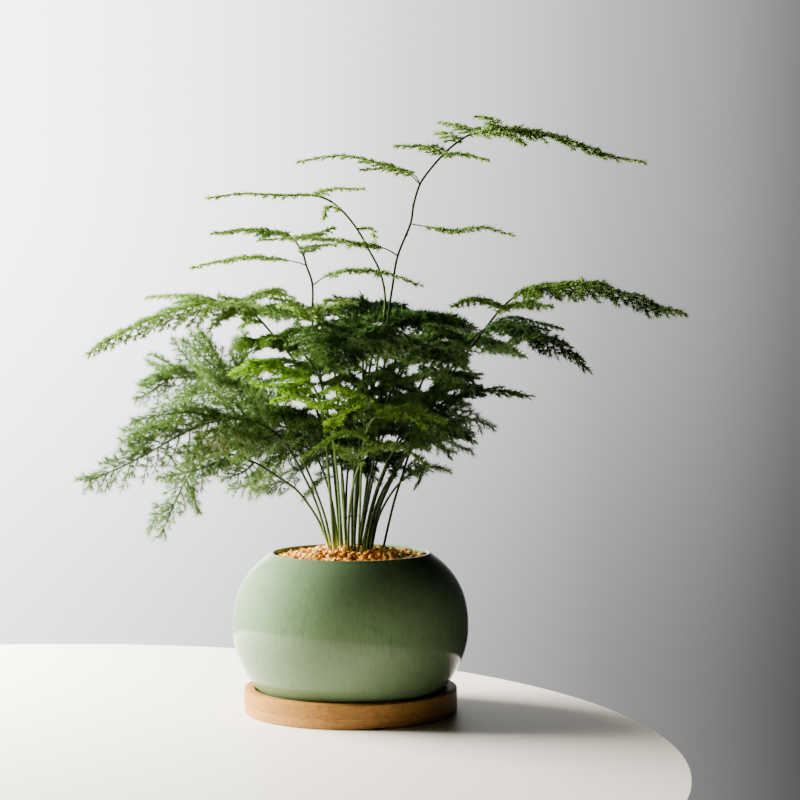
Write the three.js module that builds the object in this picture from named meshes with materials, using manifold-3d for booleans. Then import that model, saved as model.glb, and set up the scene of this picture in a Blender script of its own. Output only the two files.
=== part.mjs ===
// A potted lace fern (Asparagus setaceus): wiry canes that carry flat, feathery sprays, standing in a
// gravel-dressed celadon bowl on a round bamboo saucer. Millimetres, +Z up, the origin under the middle of
// the saucer on the surface it stands on. +X is to the viewer's right and -Y is towards the viewer.
import * as THREE from "three";
import { mergeVertices } from "three/addons/utils/BufferGeometryUtils.js";
import Module from "manifold-3d";

const wasm = await Module();
wasm.setup();

// Bamboo saucer
const SAUCER_RADIUS = 67.8;
const SAUCER_HEIGHT = 15.3;
const SAUCER_CHAMFER = 1.2;
const RECESS_RADIUS = 61;
const RECESS_FLOOR = 8;

// Celadon bowl: two half ovals that meet at the belly
const BELLY_RADIUS = 75;
const BELLY_HEIGHT = 52;
const SHOULDER_RISE = 61.9;
const SHOULDER_POWER = 2.5;
const LOWER_DROP = 64.8;
const LOWER_POWER = 1.81;
const RIM_HEIGHT = 100.8;
const WALL = 4;
const FLOOR_TOP = 16;
const FOOT_RING_WIDTH = 6;
const FOOT_RING_DEPTH = 2;
const LIP_DROP = 1.2;
const LIP_CREST_INSET = 1.4;
const LIP_INNER_INSET = 3.2;
const LIP_INNER_DROP = 0.5;
const BOWL_SEGMENTS = 32;
const BOWL_STEPS = { lower: 5, upper: 6 };
const CAVITY_LEVELS = [16, 32, 52, 72, 90, 96.5, 98.3];

// Soil, gravel and the canes' sockets
const GRAVEL_BOTTOM = 90;
const GRAVEL_EDGE_HEIGHT = 96.8;
const GRAVEL_CROWN = 5.5;
const GRAVEL_SHOULDER = [12, 46];
const GRAVEL_RINGS = [42, 29, 15, 0];
const PEBBLE_SEED = 7;
const PEBBLE_COUNT = 60;
const PEBBLE_FIELD_RADIUS = 43;
const PEBBLE_SIZE = [3.6, 4.4];
const PEBBLE_DEPTH = [0.8, 1];
const PEBBLE_HEIGHT = [0.65, 0.85];
const PEBBLE_RISE = 0.1;
const PEBBLE_ROOM = 0.85;
const SOCKET_BOTTOM = 72;
const SOCKET_CLEARANCE = 0.4;
const SEAT_GAP = 0.3;

// Canes and sprays
const CANE_FOOT_HEIGHT = 104;
const CANE_HALF_WIDTH = 0.8;
const RIB_HALF_WIDTH = 0.6;
const BLADE_THICKNESS = 0.7;
const LEAFLET_PITCH = 6.4;
const LEAFLET_PITCH_BY_REACH = 0.08;
const LEAFLET_DROOP = 0.12;
const LEAFLET_ANGLES = [66, 40];
const RIB_TAPER = 0.4;
const RIB_TIP = 0.6;
const BARE_FLATNESS = 0.6;
const CURVE_TENSION = 0.5;
const CLEARANCE = 0.15;

// Where the plant is looked at from, level with this height and this far from the bowl's axis. The routes
// below are read on the upright plane through the axis, as [across, up, depth]; depth is positive away
// from the viewer.
const VIEW_DISTANCE = 1308;
const VIEW_HEIGHT = 247;

// One entry for each cane. foot is where it leaves the gravel, leafy the point of the route where its
// foliage starts, reach its longest leaflet, and roll the sideways lean of its flat foliage in degrees.
// A twig starts at the point of the cane's route that from names, and bears leaflets from its own point
// leafy on.
const CANES = [
  {
    name: "cane_low_left", tone: "airy", foot: [-14.3, 1.5], leafy: 5, reach: 19, roll: 60,
    route: [[-19, 118, 0], [-26, 130, -2], [-35, 141, -4], [-48, 150, -6], [-61, 158, -8],
      [-75, 163, -10], [-92, 160, -12], [-104, 147, -14], [-112, 131, -16], [-121, 110, -18]],
    twigs: [
      { from: 5, reach: 9, roll: 60, route: [[-92, 155, -20], [-108, 151, -26], [-123, 148, -30]] },
      { from: 4, reach: 10, roll: 60, route: [[-68, 152, -20], [-82, 147, -30]] },
    ],
  },
  {
    name: "cane_cloud_low", tone: "airy", foot: [-13.8, -4.2], leafy: 4, reach: 30, roll: 50,
    route: [[-18, 120, -6], [-23, 135, -9], [-30, 150, -13], [-37, 163, -18], [-47, 176, -24],
      [-62, 184, -30], [-82, 185, -36], [-105, 177, -42], [-130, 163, -48], [-150, 153, -52],
      [-168, 146, -56]],
    twigs: [
      { from: 6, reach: 11, roll: 50, route: [[-100, 190, -44], [-120, 188, -50], [-139, 184, -56]] },
      { from: 4, reach: 12, roll: 50, route: [[-62, 170, -34], [-84, 166, -44], [-104, 160, -52]] },
    ],
  },
  {
    name: "cane_cloud_high", tone: "airy", foot: [-12.5, 6], leafy: 4, reach: 22, roll: 70,
    route: [[-16, 122, 8], [-21, 137, 10], [-27, 152, 12], [-34, 168, 15], [-44, 187, 18],
      [-58, 201, 22], [-75, 209, 25], [-95, 212, 28], [-115, 211, 31], [-133, 207, 34]],
    twigs: [
      { from: 6, reach: 10, roll: 80, route: [[-86, 222, 18], [-94, 232, 14], [-101, 240, 10]] },
      { from: 5, reach: 9, roll: 80, route: [[-66, 216, 14], [-70, 229, 8], [-66, 240, 4]] },
      { from: 7, reach: 10, roll: 80, route: [[-106, 225, 36], [-116, 236, 42]] },
      { from: 4, reach: 15, roll: 60, route: [[-58, 184, 30], [-78, 180, 42], [-98, 176, 52]] },
    ],
  },
  {
    name: "cane_bright_left_high", tone: "young", foot: [-10.5, -8.5], leafy: 4, reach: 22, roll: 22,
    route: [[-12, 125, -12], [-14, 150, -17], [-16, 175, -23], [-19, 195, -31], [-26, 209, -41],
      [-40, 216, -53], [-59, 218, -65], [-80, 214, -76]],
    twigs: [
      { from: 4, reach: 10, roll: 20, route: [[-40, 205, -62], [-62, 208, -84]] },
    ],
  },
  {
    name: "cane_bright_left_low", tone: "young", foot: [-6, -11], leafy: 3, reach: 16, roll: 20,
    route: [[-7, 130, -18], [-9, 155, -27], [-12, 177, -38], [-18, 191, -52], [-32, 199, -68],
      [-49, 197, -82]],
    twigs: [
      { from: 2, reach: 8, roll: -15, route: [[-8, 188, -52], [4, 193, -66]] },
    ],
  },
  {
    name: "cane_arch_left", tone: "mature", foot: [-9.5, 1], leafy: 6, reach: 30, roll: 14,
    route: [[-12, 130, 1], [-15, 160, 2], [-21, 190, 3], [-30, 214, 3], [-39, 227, 2], [-50, 240, 0],
      [-59, 250, -3], [-70, 257, -6], [-88, 259, -11], [-108, 255, -17], [-130, 247, -24],
      [-150, 237, -31], [-165.5, 227, -38]],
    twigs: [
      { from: 7, reach: 18, roll: 14, route: [[-62, 264, 8], [-50, 267, 22], [-36, 262, 36]] },
      { from: 8, reach: 10, roll: 8, route: [[-102, 264, 10], [-128, 263, 30]] },
    ],
  },
  {
    name: "cane_thin_left", tone: "mature", foot: [-7, 8.5], leafy: 8, reach: 17, roll: 4,
    route: [[-9, 135, 12], [-12, 165, 16], [-17, 200, 20], [-22, 230, 22], [-24, 247, 22],
      [-24, 270, 20], [-28, 283, 18], [-30, 290, 16], [-37, 300, 12], [-50, 304, 6], [-68, 305, -2],
      [-86, 303, -12]],
    twigs: [
      { from: 4, reach: 9, roll: 0, route: [[-33, 255, 30], [-46, 258, 40]] },
      { from: 4, reach: 10, roll: 0, route: [[-16, 255, 34], [-2, 261, 48]] },
      {
        from: 5, leafy: 1, reach: 12, roll: -6,
        route: [[-15, 276, 12], [2, 280, 2], [22, 278, -10], [45, 270, -22]],
      },
      {
        from: 6, leafy: 1, reach: 11, roll: 4,
        route: [[-40, 286, 26], [-60, 288, 36], [-80, 286, 46], [-101, 281, 56]],
      },
      { from: 7, reach: 8, roll: 0, route: [[-24, 295, 8], [-8, 296, -4]] },
      { from: 8, reach: 10, roll: 0, route: [[-24, 302, 24], [-10, 307, 38]] },
    ],
  },
  {
    name: "cane_young_arch", tone: "young", foot: [1.5, 5.5], leafy: 11, reach: 6, roll: 10,
    route: [[4, 130, 6], [7, 160, 8], [12, 190, 9], [17, 220, 9], [20.5, 245, 8], [22, 262, 7],
      [19, 278, 6], [12, 292, 5], [4, 306, 3], [-5, 317, 0], [-14, 324, -3], [-25, 327, -6],
      [-45, 327, -12], [-68, 328, -18], [-91, 325, -24]],
    twigs: [
      { from: 11, reach: 5, roll: 0, route: [[-12, 331, -20], [8, 331, -34]] },
      { from: 9, reach: 3, roll: 0, route: [[-14, 320, -12], [-17, 312, -16]] },
      { from: 8, reach: 3, roll: 0, route: [[13, 306, 12], [16, 298, 16]] },
    ],
  },
  {
    name: "cane_tallest", tone: "mature", foot: [5.5, 1.5], leafy: 13, reach: 20, roll: -8,
    route: [[8.5, 130, 0], [12.5, 160, -2], [18, 190, -4], [21.5, 218, -6], [24, 250, -8], [27, 272, -9],
      [30, 289, -9], [38, 309, -8], [40, 321, -7], [44, 334, -6], [51, 344, -4], [59, 353, -1],
      [67, 360, 2], [77, 366, 5], [90, 369, 7], [110, 368, 7], [130, 364, 4], [148, 358, -2],
      [165, 352, -8], [187, 348, -16]],
    twigs: [
      {
        from: 6, leafy: 1, reach: 11, roll: 4,
        route: [[20, 294, -22], [2, 297, -34], [-25, 300, -48], [-58, 299, -64]],
      },
      {
        from: 7, leafy: 1, reach: 9, roll: -4,
        route: [[50, 307, -18], [64, 305, -28], [83, 307, -40], [103, 302, -52]],
      },
      {
        from: 9, leafy: 1, reach: 10, roll: 4,
        route: [[36, 341, 8], [20, 347, 18], [-6, 352, 30], [-33, 348, 42]],
      },
      { from: 9, leafy: 1, reach: 8, roll: 0, route: [[40, 340, -16], [26, 344, -28], [7, 343, -40]] },
      { from: 11, reach: 9, roll: 0, route: [[48, 358, -14], [28, 358, -32]] },
      { from: 11, reach: 8, roll: 0, route: [[72, 353, 16], [87, 349, 30]] },
      { from: 12, reach: 8, roll: 0, route: [[62, 366, 18], [55, 366, 32]] },
      { from: 13, reach: 8, roll: 0, route: [[70, 371, 20], [57, 373, 38]] },
      { from: 13, reach: 9, roll: -10, route: [[98, 366, -18], [111, 359, -36]] },
      { from: 14, reach: 6, roll: 0, route: [[90, 375, -10], [79, 377, -26]] },
    ],
  },
  {
    name: "cane_right_high", tone: "mature", foot: [11, 5], leafy: 8, reach: 30, roll: -18,
    route: [[15, 124, 7], [22.5, 142, 9], [33.5, 160, 11], [46, 182, 13], [57, 203, 14], [70, 222, 14],
      [82, 238, 13], [96, 256, 10], [108, 265, 7], [124, 270, 2], [142, 271, -5], [162, 268, -13],
      [182, 262, -21], [197, 256, -27], [212, 253, -33]],
    twigs: [
      { from: 7, reach: 9, roll: 20, route: [[88, 262, -6], [76, 263, -18], [65, 258, -28]] },
      { from: 7, reach: 9, roll: -10, route: [[110, 259, -10], [128, 257, -26]] },
      { from: 8, reach: 10, roll: -20, route: [[112, 268, -8], [120, 263, -26]] },
    ],
  },
  {
    name: "cane_right_dark", tone: "mature", foot: [10.5, -4], leafy: 7, reach: 26, roll: -22,
    route: [[14, 123, -8], [20.5, 140, -12], [30.5, 156, -16], [43, 177, -21], [53, 198, -26],
      [63, 216, -31], [73, 232, -36], [86, 243, -42], [101, 245, -49], [118, 240, -57], [135, 230, -65],
      [151, 217, -73]],
    twigs: [
      { from: 7, reach: 7, roll: -10, route: [[102, 250, -24], [118, 247, -14], [134, 243, -8]] },
      { from: 6, reach: 13, roll: 10, route: [[62, 242, -52], [48, 245, -66]] },
    ],
  },
  {
    name: "cane_right_mid", tone: "mature", foot: [7.5, 8.5], leafy: 6, reach: 26, roll: 6,
    route: [[12, 124, 13], [18, 142, 18], [25, 160, 24], [34, 182, 31], [43, 204, 38], [52, 220, 45],
      [63, 231, 52], [78, 235, 60], [94, 232, 68], [109, 226, 76]],
    twigs: [],
  },
  {
    name: "cane_right_low", tone: "mature", foot: [13.8, 2.6], leafy: 4, reach: 30, roll: -6,
    route: [[17, 124, 1], [24.5, 143, 0], [35.5, 163, -2], [47, 182, -3], [58, 195, -4], [74, 202, -6],
      [94, 203, -9], [115, 200, -12]],
    twigs: [],
  },
  {
    name: "cane_right_fuzzy", tone: "airy", foot: [8.5, -9.5], leafy: 3, reach: 22, roll: -40,
    route: [[12, 125, -16], [18, 145, -25], [26, 163, -36], [37, 177, -47], [53, 186, -58],
      [71, 187, -68], [91, 180, -78]],
    twigs: [
      { from: 3, reach: 9, roll: -40, route: [[50, 171, -62], [66, 164, -76]] },
    ],
  },
  {
    name: "cane_right_tail", tone: "mature", foot: [11.5, 9.5], leafy: 3, reach: 18, roll: -10,
    route: [[16, 126, 17], [24, 146, 26], [35, 163, 37], [48, 175, 48], [63, 177, 60], [80, 171, 72]],
    twigs: [
      { from: 2, reach: 6, roll: -30, route: [[46, 172, 24], [56, 170, 22], [64, 160, 22]] },
    ],
  },
  {
    name: "cane_lone_right", tone: "mature", foot: [21, 3], leafy: 5, reach: 22, roll: 0,
    route: [[24.5, 120, 3], [28, 134, 3], [33, 150, 4], [38, 166, 6], [45, 186, 12], [54, 203, 20],
      [66, 213, 30], [82, 214, 42]],
    twigs: [
      { from: 2, reach: 6, roll: -60, route: [[42, 157, -10], [46, 152, -20], [41, 142, -26]] },
    ],
  },
  {
    name: "cane_front_veil", tone: "mature", foot: [2.5, -8], leafy: 4, reach: 44, roll: 4,
    route: [[3, 130, -15], [5, 160, -25], [7, 190, -37], [8, 215, -51], [7, 232, -66], [4, 240, -84],
      [0, 238, -104], [-5, 230, -123], [-9, 219, -141]],
    twigs: [],
  },
  {
    name: "cane_front_right", tone: "mature", foot: [6, -4], leafy: 5, reach: 30, roll: -10,
    route: [[9, 128, -9], [14, 155, -16], [20, 182, -25], [27, 207, -37], [35, 222, -52], [45, 230, -70],
      [57, 229, -90], [69, 221, -110]],
    twigs: [
      { from: 3, reach: 12, roll: -12, route: [[36, 212, -50], [52, 214, -66], [70, 210, -80]] },
    ],
  },
  {
    name: "cane_back_left", tone: "mature", foot: [-3, 10.5], leafy: 5, reach: 34, roll: -12,
    route: [[-5, 135, 18], [-6, 165, 28], [-8, 195, 40], [-11, 222, 53], [-16, 240, 68], [-25, 251, 85],
      [-38, 254, 103], [-53, 251, 120]],
    twigs: [],
  },
  {
    name: "cane_back_centre", tone: "mature", foot: [1.5, 12.5], leafy: 4, reach: 36, roll: -10,
    route: [[3, 135, 21], [5, 168, 33], [8, 200, 46], [11, 228, 60], [13, 248, 76], [14, 257, 95],
      [14, 257, 115], [12, 250, 134]],
    twigs: [
      { from: 3, reach: 12, roll: 0, route: [[0, 240, 70], [-14, 243, 80]] },
    ],
  },
  {
    name: "cane_back_right", tone: "mature", foot: [6, 13], leafy: 5, reach: 32, roll: -7,
    route: [[11, 132, 23], [17, 160, 34], [25, 190, 47], [33, 216, 61], [42, 235, 77], [53, 245, 95],
      [66, 245, 113], [80, 237, 130]],
    twigs: [],
  },
  {
    name: "cane_middle_left", tone: "mature", foot: [-5.5, -3], leafy: 4, reach: 28, roll: 14,
    route: [[-7, 130, -4], [-10, 160, -6], [-14, 188, -9], [-20, 212, -13], [-29, 226, -20],
      [-41, 233, -29], [-55, 234, -39], [-69, 230, -49]],
    twigs: [],
  },
  {
    name: "cane_middle_low", tone: "airy", foot: [-8, 4.8], leafy: 2, reach: 20, roll: 30,
    route: [[-11, 128, 8], [-16, 148, 14], [-23, 164, 22], [-33, 176, 32], [-48, 182, 44],
      [-64, 181, 56], [-80, 174, 66]],
    twigs: [],
  },
  {
    name: "cane_inner_right", tone: "airy", foot: [10.5, 0.8], leafy: 3, reach: 22, roll: -20,
    route: [[13, 124, 1], [18, 142, 2], [24, 158, 2], [33, 170, 3], [46, 178, 3], [61, 180, 2],
      [77, 176, 0]],
    twigs: [],
  },
  {
    name: "cane_front_low", tone: "young", foot: [-1.5, -9.5], leafy: 3, reach: 13, roll: 0,
    route: [[-1, 122, -16], [1, 140, -26], [5, 155, -38], [11, 165, -52], [19, 169, -68],
      [29, 166, -84]],
    twigs: [
      { from: 2, reach: 9, roll: 0, route: [[-2, 165, -50], [-10, 168, -62]] },
    ],
  },
  {
    name: "cane_front_gold", tone: "young", foot: [5, -13], leafy: 3, reach: 11, roll: -20,
    route: [[6, 130, -23], [7, 155, -34], [10, 177, -47], [18, 188, -62], [36, 190, -78],
      [60, 184, -94]],
    twigs: [
      { from: 2, reach: 7, roll: 0, route: [[8, 192, -56], [12, 198, -66]] },
    ],
  },
  {
    name: "cane_right_deep", tone: "mature", foot: [12.6, -7.2], leafy: 3, reach: 22, roll: -4,
    route: [[16.5, 124, -7.5], [23.5, 143, -8.5], [33, 163, -9.5], [43, 184, -10], [50, 199, -11],
      [58, 208, -12], [68, 212, -13], [81, 212, -14]],
    twigs: [
      { from: 4, reach: 10, roll: -6, route: [[62, 206, -28], [83, 207, -42]] },
    ],
  },
  {
    name: "cane_inner_left", tone: "airy", foot: [-3, 1.5], leafy: 2, reach: 20, roll: 20,
    route: [[-4, 128, 3], [-5, 148, 6], [-8, 164, 8], [-15, 177, 9], [-28, 186, 8], [-44, 189, 5],
      [-60, 186, 1]],
    twigs: [
      { from: 2, reach: 12, roll: 20, route: [[-15, 170, 0], [-26, 172, -4], [-37, 168, -8]] },
    ],
  },
  {
    name: "cane_inner_front", tone: "airy", foot: [1, -3.5], leafy: 2, reach: 18, roll: -20,
    route: [[1, 128, -8], [2, 148, -13], [4, 166, -19], [9, 180, -26], [20, 188, -34], [35, 191, -42]],
    twigs: [
      { from: 2, reach: 10, roll: 20, route: [[-4, 170, -26], [-13, 173, -27], [-24, 171, -27]] },
    ],
  },
  {
    name: "cane_inner_back", tone: "airy", foot: [-3.2, 6], leafy: 2, reach: 22, roll: -10,
    route: [[-3, 128, 10], [-2, 150, 16], [1, 170, 23], [8, 184, 31], [20, 192, 40], [35, 194, 50]],
    twigs: [
      { from: 2, reach: 14, roll: 10, route: [[-10, 182, 34], [-24, 186, 46], [-38, 184, 56]] },
    ],
  },
  {
    name: "cane_low_right", tone: "airy", foot: [13.4, -1.4], leafy: 2, reach: 11, roll: -30,
    route: [[17.5, 122, -3], [24.5, 136, -5], [33.5, 147, -6], [44, 153, -4], [54, 155, 0], [63, 152, 4]],
    twigs: [],
  },
  {
    name: "cane_centre_high", tone: "mature", foot: [2, 1], leafy: 4, reach: 30, roll: 0,
    route: [[4, 130, 1], [7, 165, 3], [10, 200, 6], [14, 226, 10], [22, 243, 14], [35, 250.5, 18],
      [51, 250, 22], [67, 245, 26]],
    twigs: [
      { from: 3, reach: 14, roll: 0, route: [[12, 240, 24], [2, 250, 36], [-10, 256, 46]] },
    ],
  },
];

const TONES = {
  mature: { color: 0x3f6b24, roughness: 0.6 },
  young: { color: 0x7fae2c, roughness: 0.6 },
  airy: { color: 0x5b7d3c, roughness: 0.65 },
};

// How far leaflets stand off the flat of their spray, by turns above and below, as a share of their length.
const RUFFLE = { mature: 0.13, young: 0.15, airy: 0.34 };

const UPWARD = new THREE.Vector3(0, 0, 1);

// A seeded draw, the same on every run.
function draws(seed) {
  let state = seed >>> 0;
  return () => {
    state = (state + 0x6d2b79f5) >>> 0;
    let t = Math.imul(state ^ (state >>> 15), 1 | state);
    t = (t + Math.imul(t ^ (t >>> 7), 61 | t)) ^ t;
    return ((t ^ (t >>> 14)) >>> 0) / 4294967296;
  };
}

// A closed three.js geometry as a solid, with its seams merged and its collapsed triangles left out.
function solidOf(geometry) {
  const bare = new THREE.BufferGeometry().setAttribute("position", geometry.getAttribute("position"));
  bare.setIndex(geometry.index);
  const merged = mergeVertices(bare, 1e-4);
  const corners = merged.index.array;
  const kept = [];
  for (let i = 0; i < corners.length; i += 3) {
    const [a, b, c] = [corners[i], corners[i + 1], corners[i + 2]];
    if (a !== b && b !== c && a !== c) kept.push(a, b, c);
  }
  return new wasm.Manifold(
    new wasm.Mesh({
      numProp: 3,
      vertProperties: new Float32Array(merged.attributes.position.array),
      triVerts: new Uint32Array(kept),
    }),
  );
}

function solidFrom(positions, index) {
  const geometry = new THREE.BufferGeometry();
  geometry.setAttribute("position", new THREE.Float32BufferAttribute(positions, 3));
  geometry.setIndex(index);
  return solidOf(geometry);
}

// The geometry of a solid's largest piece, so that no loose scrap stays with it.
function geometryOf(solid) {
  const [largest] = solid.decompose().sort((a, b) => b.volume() - a.volume());
  const mesh = largest.getMesh();
  const geometry = new THREE.BufferGeometry();
  geometry.setAttribute("position", new THREE.BufferAttribute(mesh.vertProperties, 3));
  geometry.setIndex(new THREE.BufferAttribute(mesh.triVerts, 1));
  geometry.computeVertexNormals();
  return geometry;
}

// A turned piece that stands along +Z, from a profile of [radius, height] points.
function turned(profile, segments) {
  const points = profile.map(([radius, height]) => new THREE.Vector2(radius, height));
  return solidOf(new THREE.LatheGeometry(points, segments).rotateX(Math.PI / 2));
}

// The bowl's outer radius at a height
function bowlRadius(height) {
  const rise = height - BELLY_HEIGHT;
  const [reach, power] = rise > 0 ? [SHOULDER_RISE, SHOULDER_POWER] : [LOWER_DROP, LOWER_POWER];
  const share = Math.pow(Math.abs(rise) / reach, power);
  return BELLY_RADIUS * Math.sqrt(Math.max(0, 1 - share));
}

function bowlOutside(bottom, top, steps) {
  return Array.from({ length: steps + 1 }, (_, i) => {
    const height = bottom + ((top - bottom) * i) / steps;
    return [bowlRadius(height), height];
  });
}

// The inside wall's radius at a height: one wall thickness in from the outside, along its normal.
function cavityRadius(height) {
  const nudge = 0.1;
  const halvings = 30;
  let [low, high] = [FLOOR_TOP - WALL, RIM_HEIGHT + WALL];
  let radius = 0;
  for (let i = 0; i < halvings; i++) {
    const middle = (low + high) / 2;
    const slope = (bowlRadius(middle + nudge) - bowlRadius(middle - nudge)) / (2 * nudge);
    const length = Math.hypot(1, slope);
    radius = bowlRadius(middle) - WALL / length;
    if (middle + (WALL * slope) / length < height) low = middle;
    else high = middle;
  }
  return radius;
}

// The wall that faces the filling, as [radius, height] points from a lower to an upper level. The bowl, the
// soil and the gravel share its levels, so that their facets run side by side.
function cavityWall(from, to, inset) {
  return CAVITY_LEVELS.filter((level) => level >= from && level <= to).map((level) => [
    cavityRadius(level) - inset,
    level,
  ]);
}

function bowl() {
  const footRadius = bowlRadius(RECESS_FLOOR);
  const lipHeight = RIM_HEIGHT - LIP_DROP;
  const lipRadius = bowlRadius(lipHeight);
  return turned(
    [
      [0, RECESS_FLOOR + FOOT_RING_DEPTH],
      [footRadius - FOOT_RING_WIDTH - FOOT_RING_DEPTH, RECESS_FLOOR + FOOT_RING_DEPTH],
      [footRadius - FOOT_RING_WIDTH, RECESS_FLOOR],
      ...bowlOutside(RECESS_FLOOR, BELLY_HEIGHT, BOWL_STEPS.lower),
      ...bowlOutside(BELLY_HEIGHT, lipHeight, BOWL_STEPS.upper).slice(1),
      [lipRadius - LIP_CREST_INSET, RIM_HEIGHT],
      [lipRadius - LIP_INNER_INSET, RIM_HEIGHT - LIP_INNER_DROP],
      ...cavityWall(FLOOR_TOP, RIM_HEIGHT, 0).reverse(),
      [0, FLOOR_TOP],
    ],
    BOWL_SEGMENTS,
  );
}

function saucer() {
  return turned(
    [
      [0, 0],
      [SAUCER_RADIUS - SAUCER_CHAMFER, 0],
      [SAUCER_RADIUS, SAUCER_CHAMFER],
      [SAUCER_RADIUS, SAUCER_HEIGHT - SAUCER_CHAMFER],
      [SAUCER_RADIUS - SAUCER_CHAMFER, SAUCER_HEIGHT],
      [RECESS_RADIUS, SAUCER_HEIGHT],
      [RECESS_RADIUS, RECESS_FLOOR],
      [0, RECESS_FLOOR],
    ],
    BOWL_SEGMENTS,
  );
}

// The real place of a point read on the upright plane through the axis.
function seen([across, up, depth]) {
  const share = 1 + depth / VIEW_DISTANCE;
  return new THREE.Vector3(across * share, depth, VIEW_HEIGHT + (up - VIEW_HEIGHT) * share);
}

function smoothCurve(points) {
  return new THREE.CatmullRomCurve3(points, false, "catmullrom", CURVE_TENSION);
}

// The side and upper directions of flat foliage along a curve, leant by roll degrees.
function foliageFrame(curve, t, roll) {
  const along = curve.getTangent(t);
  const level = along.clone().cross(UPWARD).normalize();
  const steep = level.clone().cross(along);
  const lean = THREE.MathUtils.degToRad(roll);
  const side = level.clone().multiplyScalar(Math.cos(lean)).addScaledVector(steep, Math.sin(lean));
  return { along, side, up: side.clone().cross(along) };
}

// How long the leaflets are along a spray, from 0 at its foot to 1 at its tip, as a share of its reach: they
// lengthen fast over its first part and then shorten towards its tip.
function leafletShare(u) {
  const [footShare, lengthening, tipShare, shortening] = [0.55, 1.8, 0.1, 1.13];
  return Math.min(footShare + lengthening * u, tipShare + shortening * (1 - u));
}

// The angle between a leaflet and its rib.
function leafletAngle(u) {
  return THREE.MathUtils.degToRad(THREE.MathUtils.lerp(...LEAFLET_ANGLES, u));
}

// The rib of a spray as rows, one where each pair of leaflets starts. A row is a cross-section: a point,
// the way ahead, the sideways and upper directions, and half the width and height there.
function ribRows(curve, start, { reach, roll }) {
  const pitch = LEAFLET_PITCH + LEAFLET_PITCH_BY_REACH * reach;
  const pairs = Math.max(2, Math.round((curve.getLength() * (1 - start)) / pitch));
  return Array.from({ length: pairs + 1 }, (_, j) => {
    const u = j / (pairs + RIB_TIP);
    const t = start + (1 - start) * u;
    const width = RIB_HALF_WIDTH * (1 - RIB_TAPER * u);
    const height = BLADE_THICKNESS / 2;
    return { u, point: curve.getPoint(t), ...foliageFrame(curve, t, roll), width, height };
  });
}

// The rows of bare wood through points that lead up to a first rib row, widening back to the foot. The
// first upright of them stand straight up.
function bareRows(points, firstRib, footWidth, upright) {
  const rows = [];
  let ahead = firstRib;
  [...points].reverse().forEach((point, i) => {
    const straight = i >= points.length - upright;
    const along = straight ? UPWARD.clone() : ahead.point.clone().sub(point).normalize();
    const side = ahead.side.clone().addScaledVector(along, -ahead.side.dot(along)).normalize();
    const share = Math.min(1, (i + 1) / (points.length - Math.max(0, upright - 1)));
    ahead = {
      point,
      along,
      side,
      up: side.clone().cross(along),
      width: THREE.MathUtils.lerp(firstRib.width, footWidth, share),
      height: THREE.MathUtils.lerp(firstRib.height, footWidth, THREE.MathUtils.lerp(BARE_FLATNESS, 1, share)),
    };
    rows.unshift(ahead);
  });
  return rows;
}

// A stalk with its leaflets in pairs, each from one rib row to the next, after a first bare stretch. They
// stand by turns above and below the flat of the spray, and their tips droop.
function stalk({ curve, start, spray, ruffle, barePoints, footWidth, upright }) {
  const ribs = ribRows(curve, start, spray);
  const bare = bareRows(barePoints, ribs[0], footWidth, upright);
  const leaflets = [];
  for (let j = 1; j + 1 < ribs.length; j++) {
    for (const hand of [1, -1]) {
      const { along, side, up } = ribs[j];
      const u = (ribs[j].u + ribs[j + 1].u) / 2;
      const length = spray.reach * leafletShare(u);
      const turn = j % 2 === 0 ? hand : -hand;
      const tip = ribs[j].point
        .clone()
        .lerp(ribs[j + 1].point, 0.5)
        .addScaledVector(along, Math.cos(leafletAngle(u)) * length)
        .addScaledVector(side, hand * Math.sin(leafletAngle(u)) * length)
        .addScaledVector(up, turn * ruffle * length)
        .addScaledVector(UPWARD, -LEAFLET_DROOP * length);
      leaflets.push({ row: bare.length + j, hand, tip, length, shown: true });
    }
  }
  return { rows: [...bare, ...ribs], leaflets, end: curve.getPoint(1) };
}

// The cane itself, from the bottom of its socket to the tip of its main spray.
function caneStalk(cane) {
  const barePoints = [
    new THREE.Vector3(...cane.foot, SOCKET_BOTTOM),
    new THREE.Vector3(...cane.foot, CANE_FOOT_HEIGHT),
    ...cane.route.slice(0, cane.leafy).map(seen),
  ];
  return stalk({
    curve: smoothCurve([barePoints[1], ...cane.route.map(seen)]),
    start: (cane.leafy + 1) / cane.route.length,
    spray: cane,
    ruffle: RUFFLE[cane.tone],
    barePoints,
    footWidth: CANE_HALF_WIDTH,
    upright: 2,
  });
}

// A twig, from the middle of the cane at its node to its tip.
function twigStalk(cane, twig) {
  const curve = smoothCurve([seen(cane.route[twig.from]), ...twig.route.map(seen)]);
  const start = (twig.leafy ?? 0) / twig.route.length;
  return stalk({
    curve,
    start,
    spray: twig,
    ruffle: RUFFLE[cane.tone],
    barePoints: start > 0 ? [curve.getPoint(0), curve.getPoint(start / 2)] : [],
    footWidth: RIB_HALF_WIDTH,
    upright: 0,
  });
}

// A corner of a row's cross-section on its right (hand 1) or left (-1), upper (face 1) or lower (-1) edge.
function rowCorner(row, hand, face, grown = 0) {
  return row.point
    .clone()
    .addScaledVector(row.side, hand * (row.width + grown))
    .addScaledVector(row.up, face * (row.height + grown));
}

function leafletTip({ tip }, row, face) {
  return tip.clone().addScaledVector(row.up, face * row.height);
}

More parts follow.
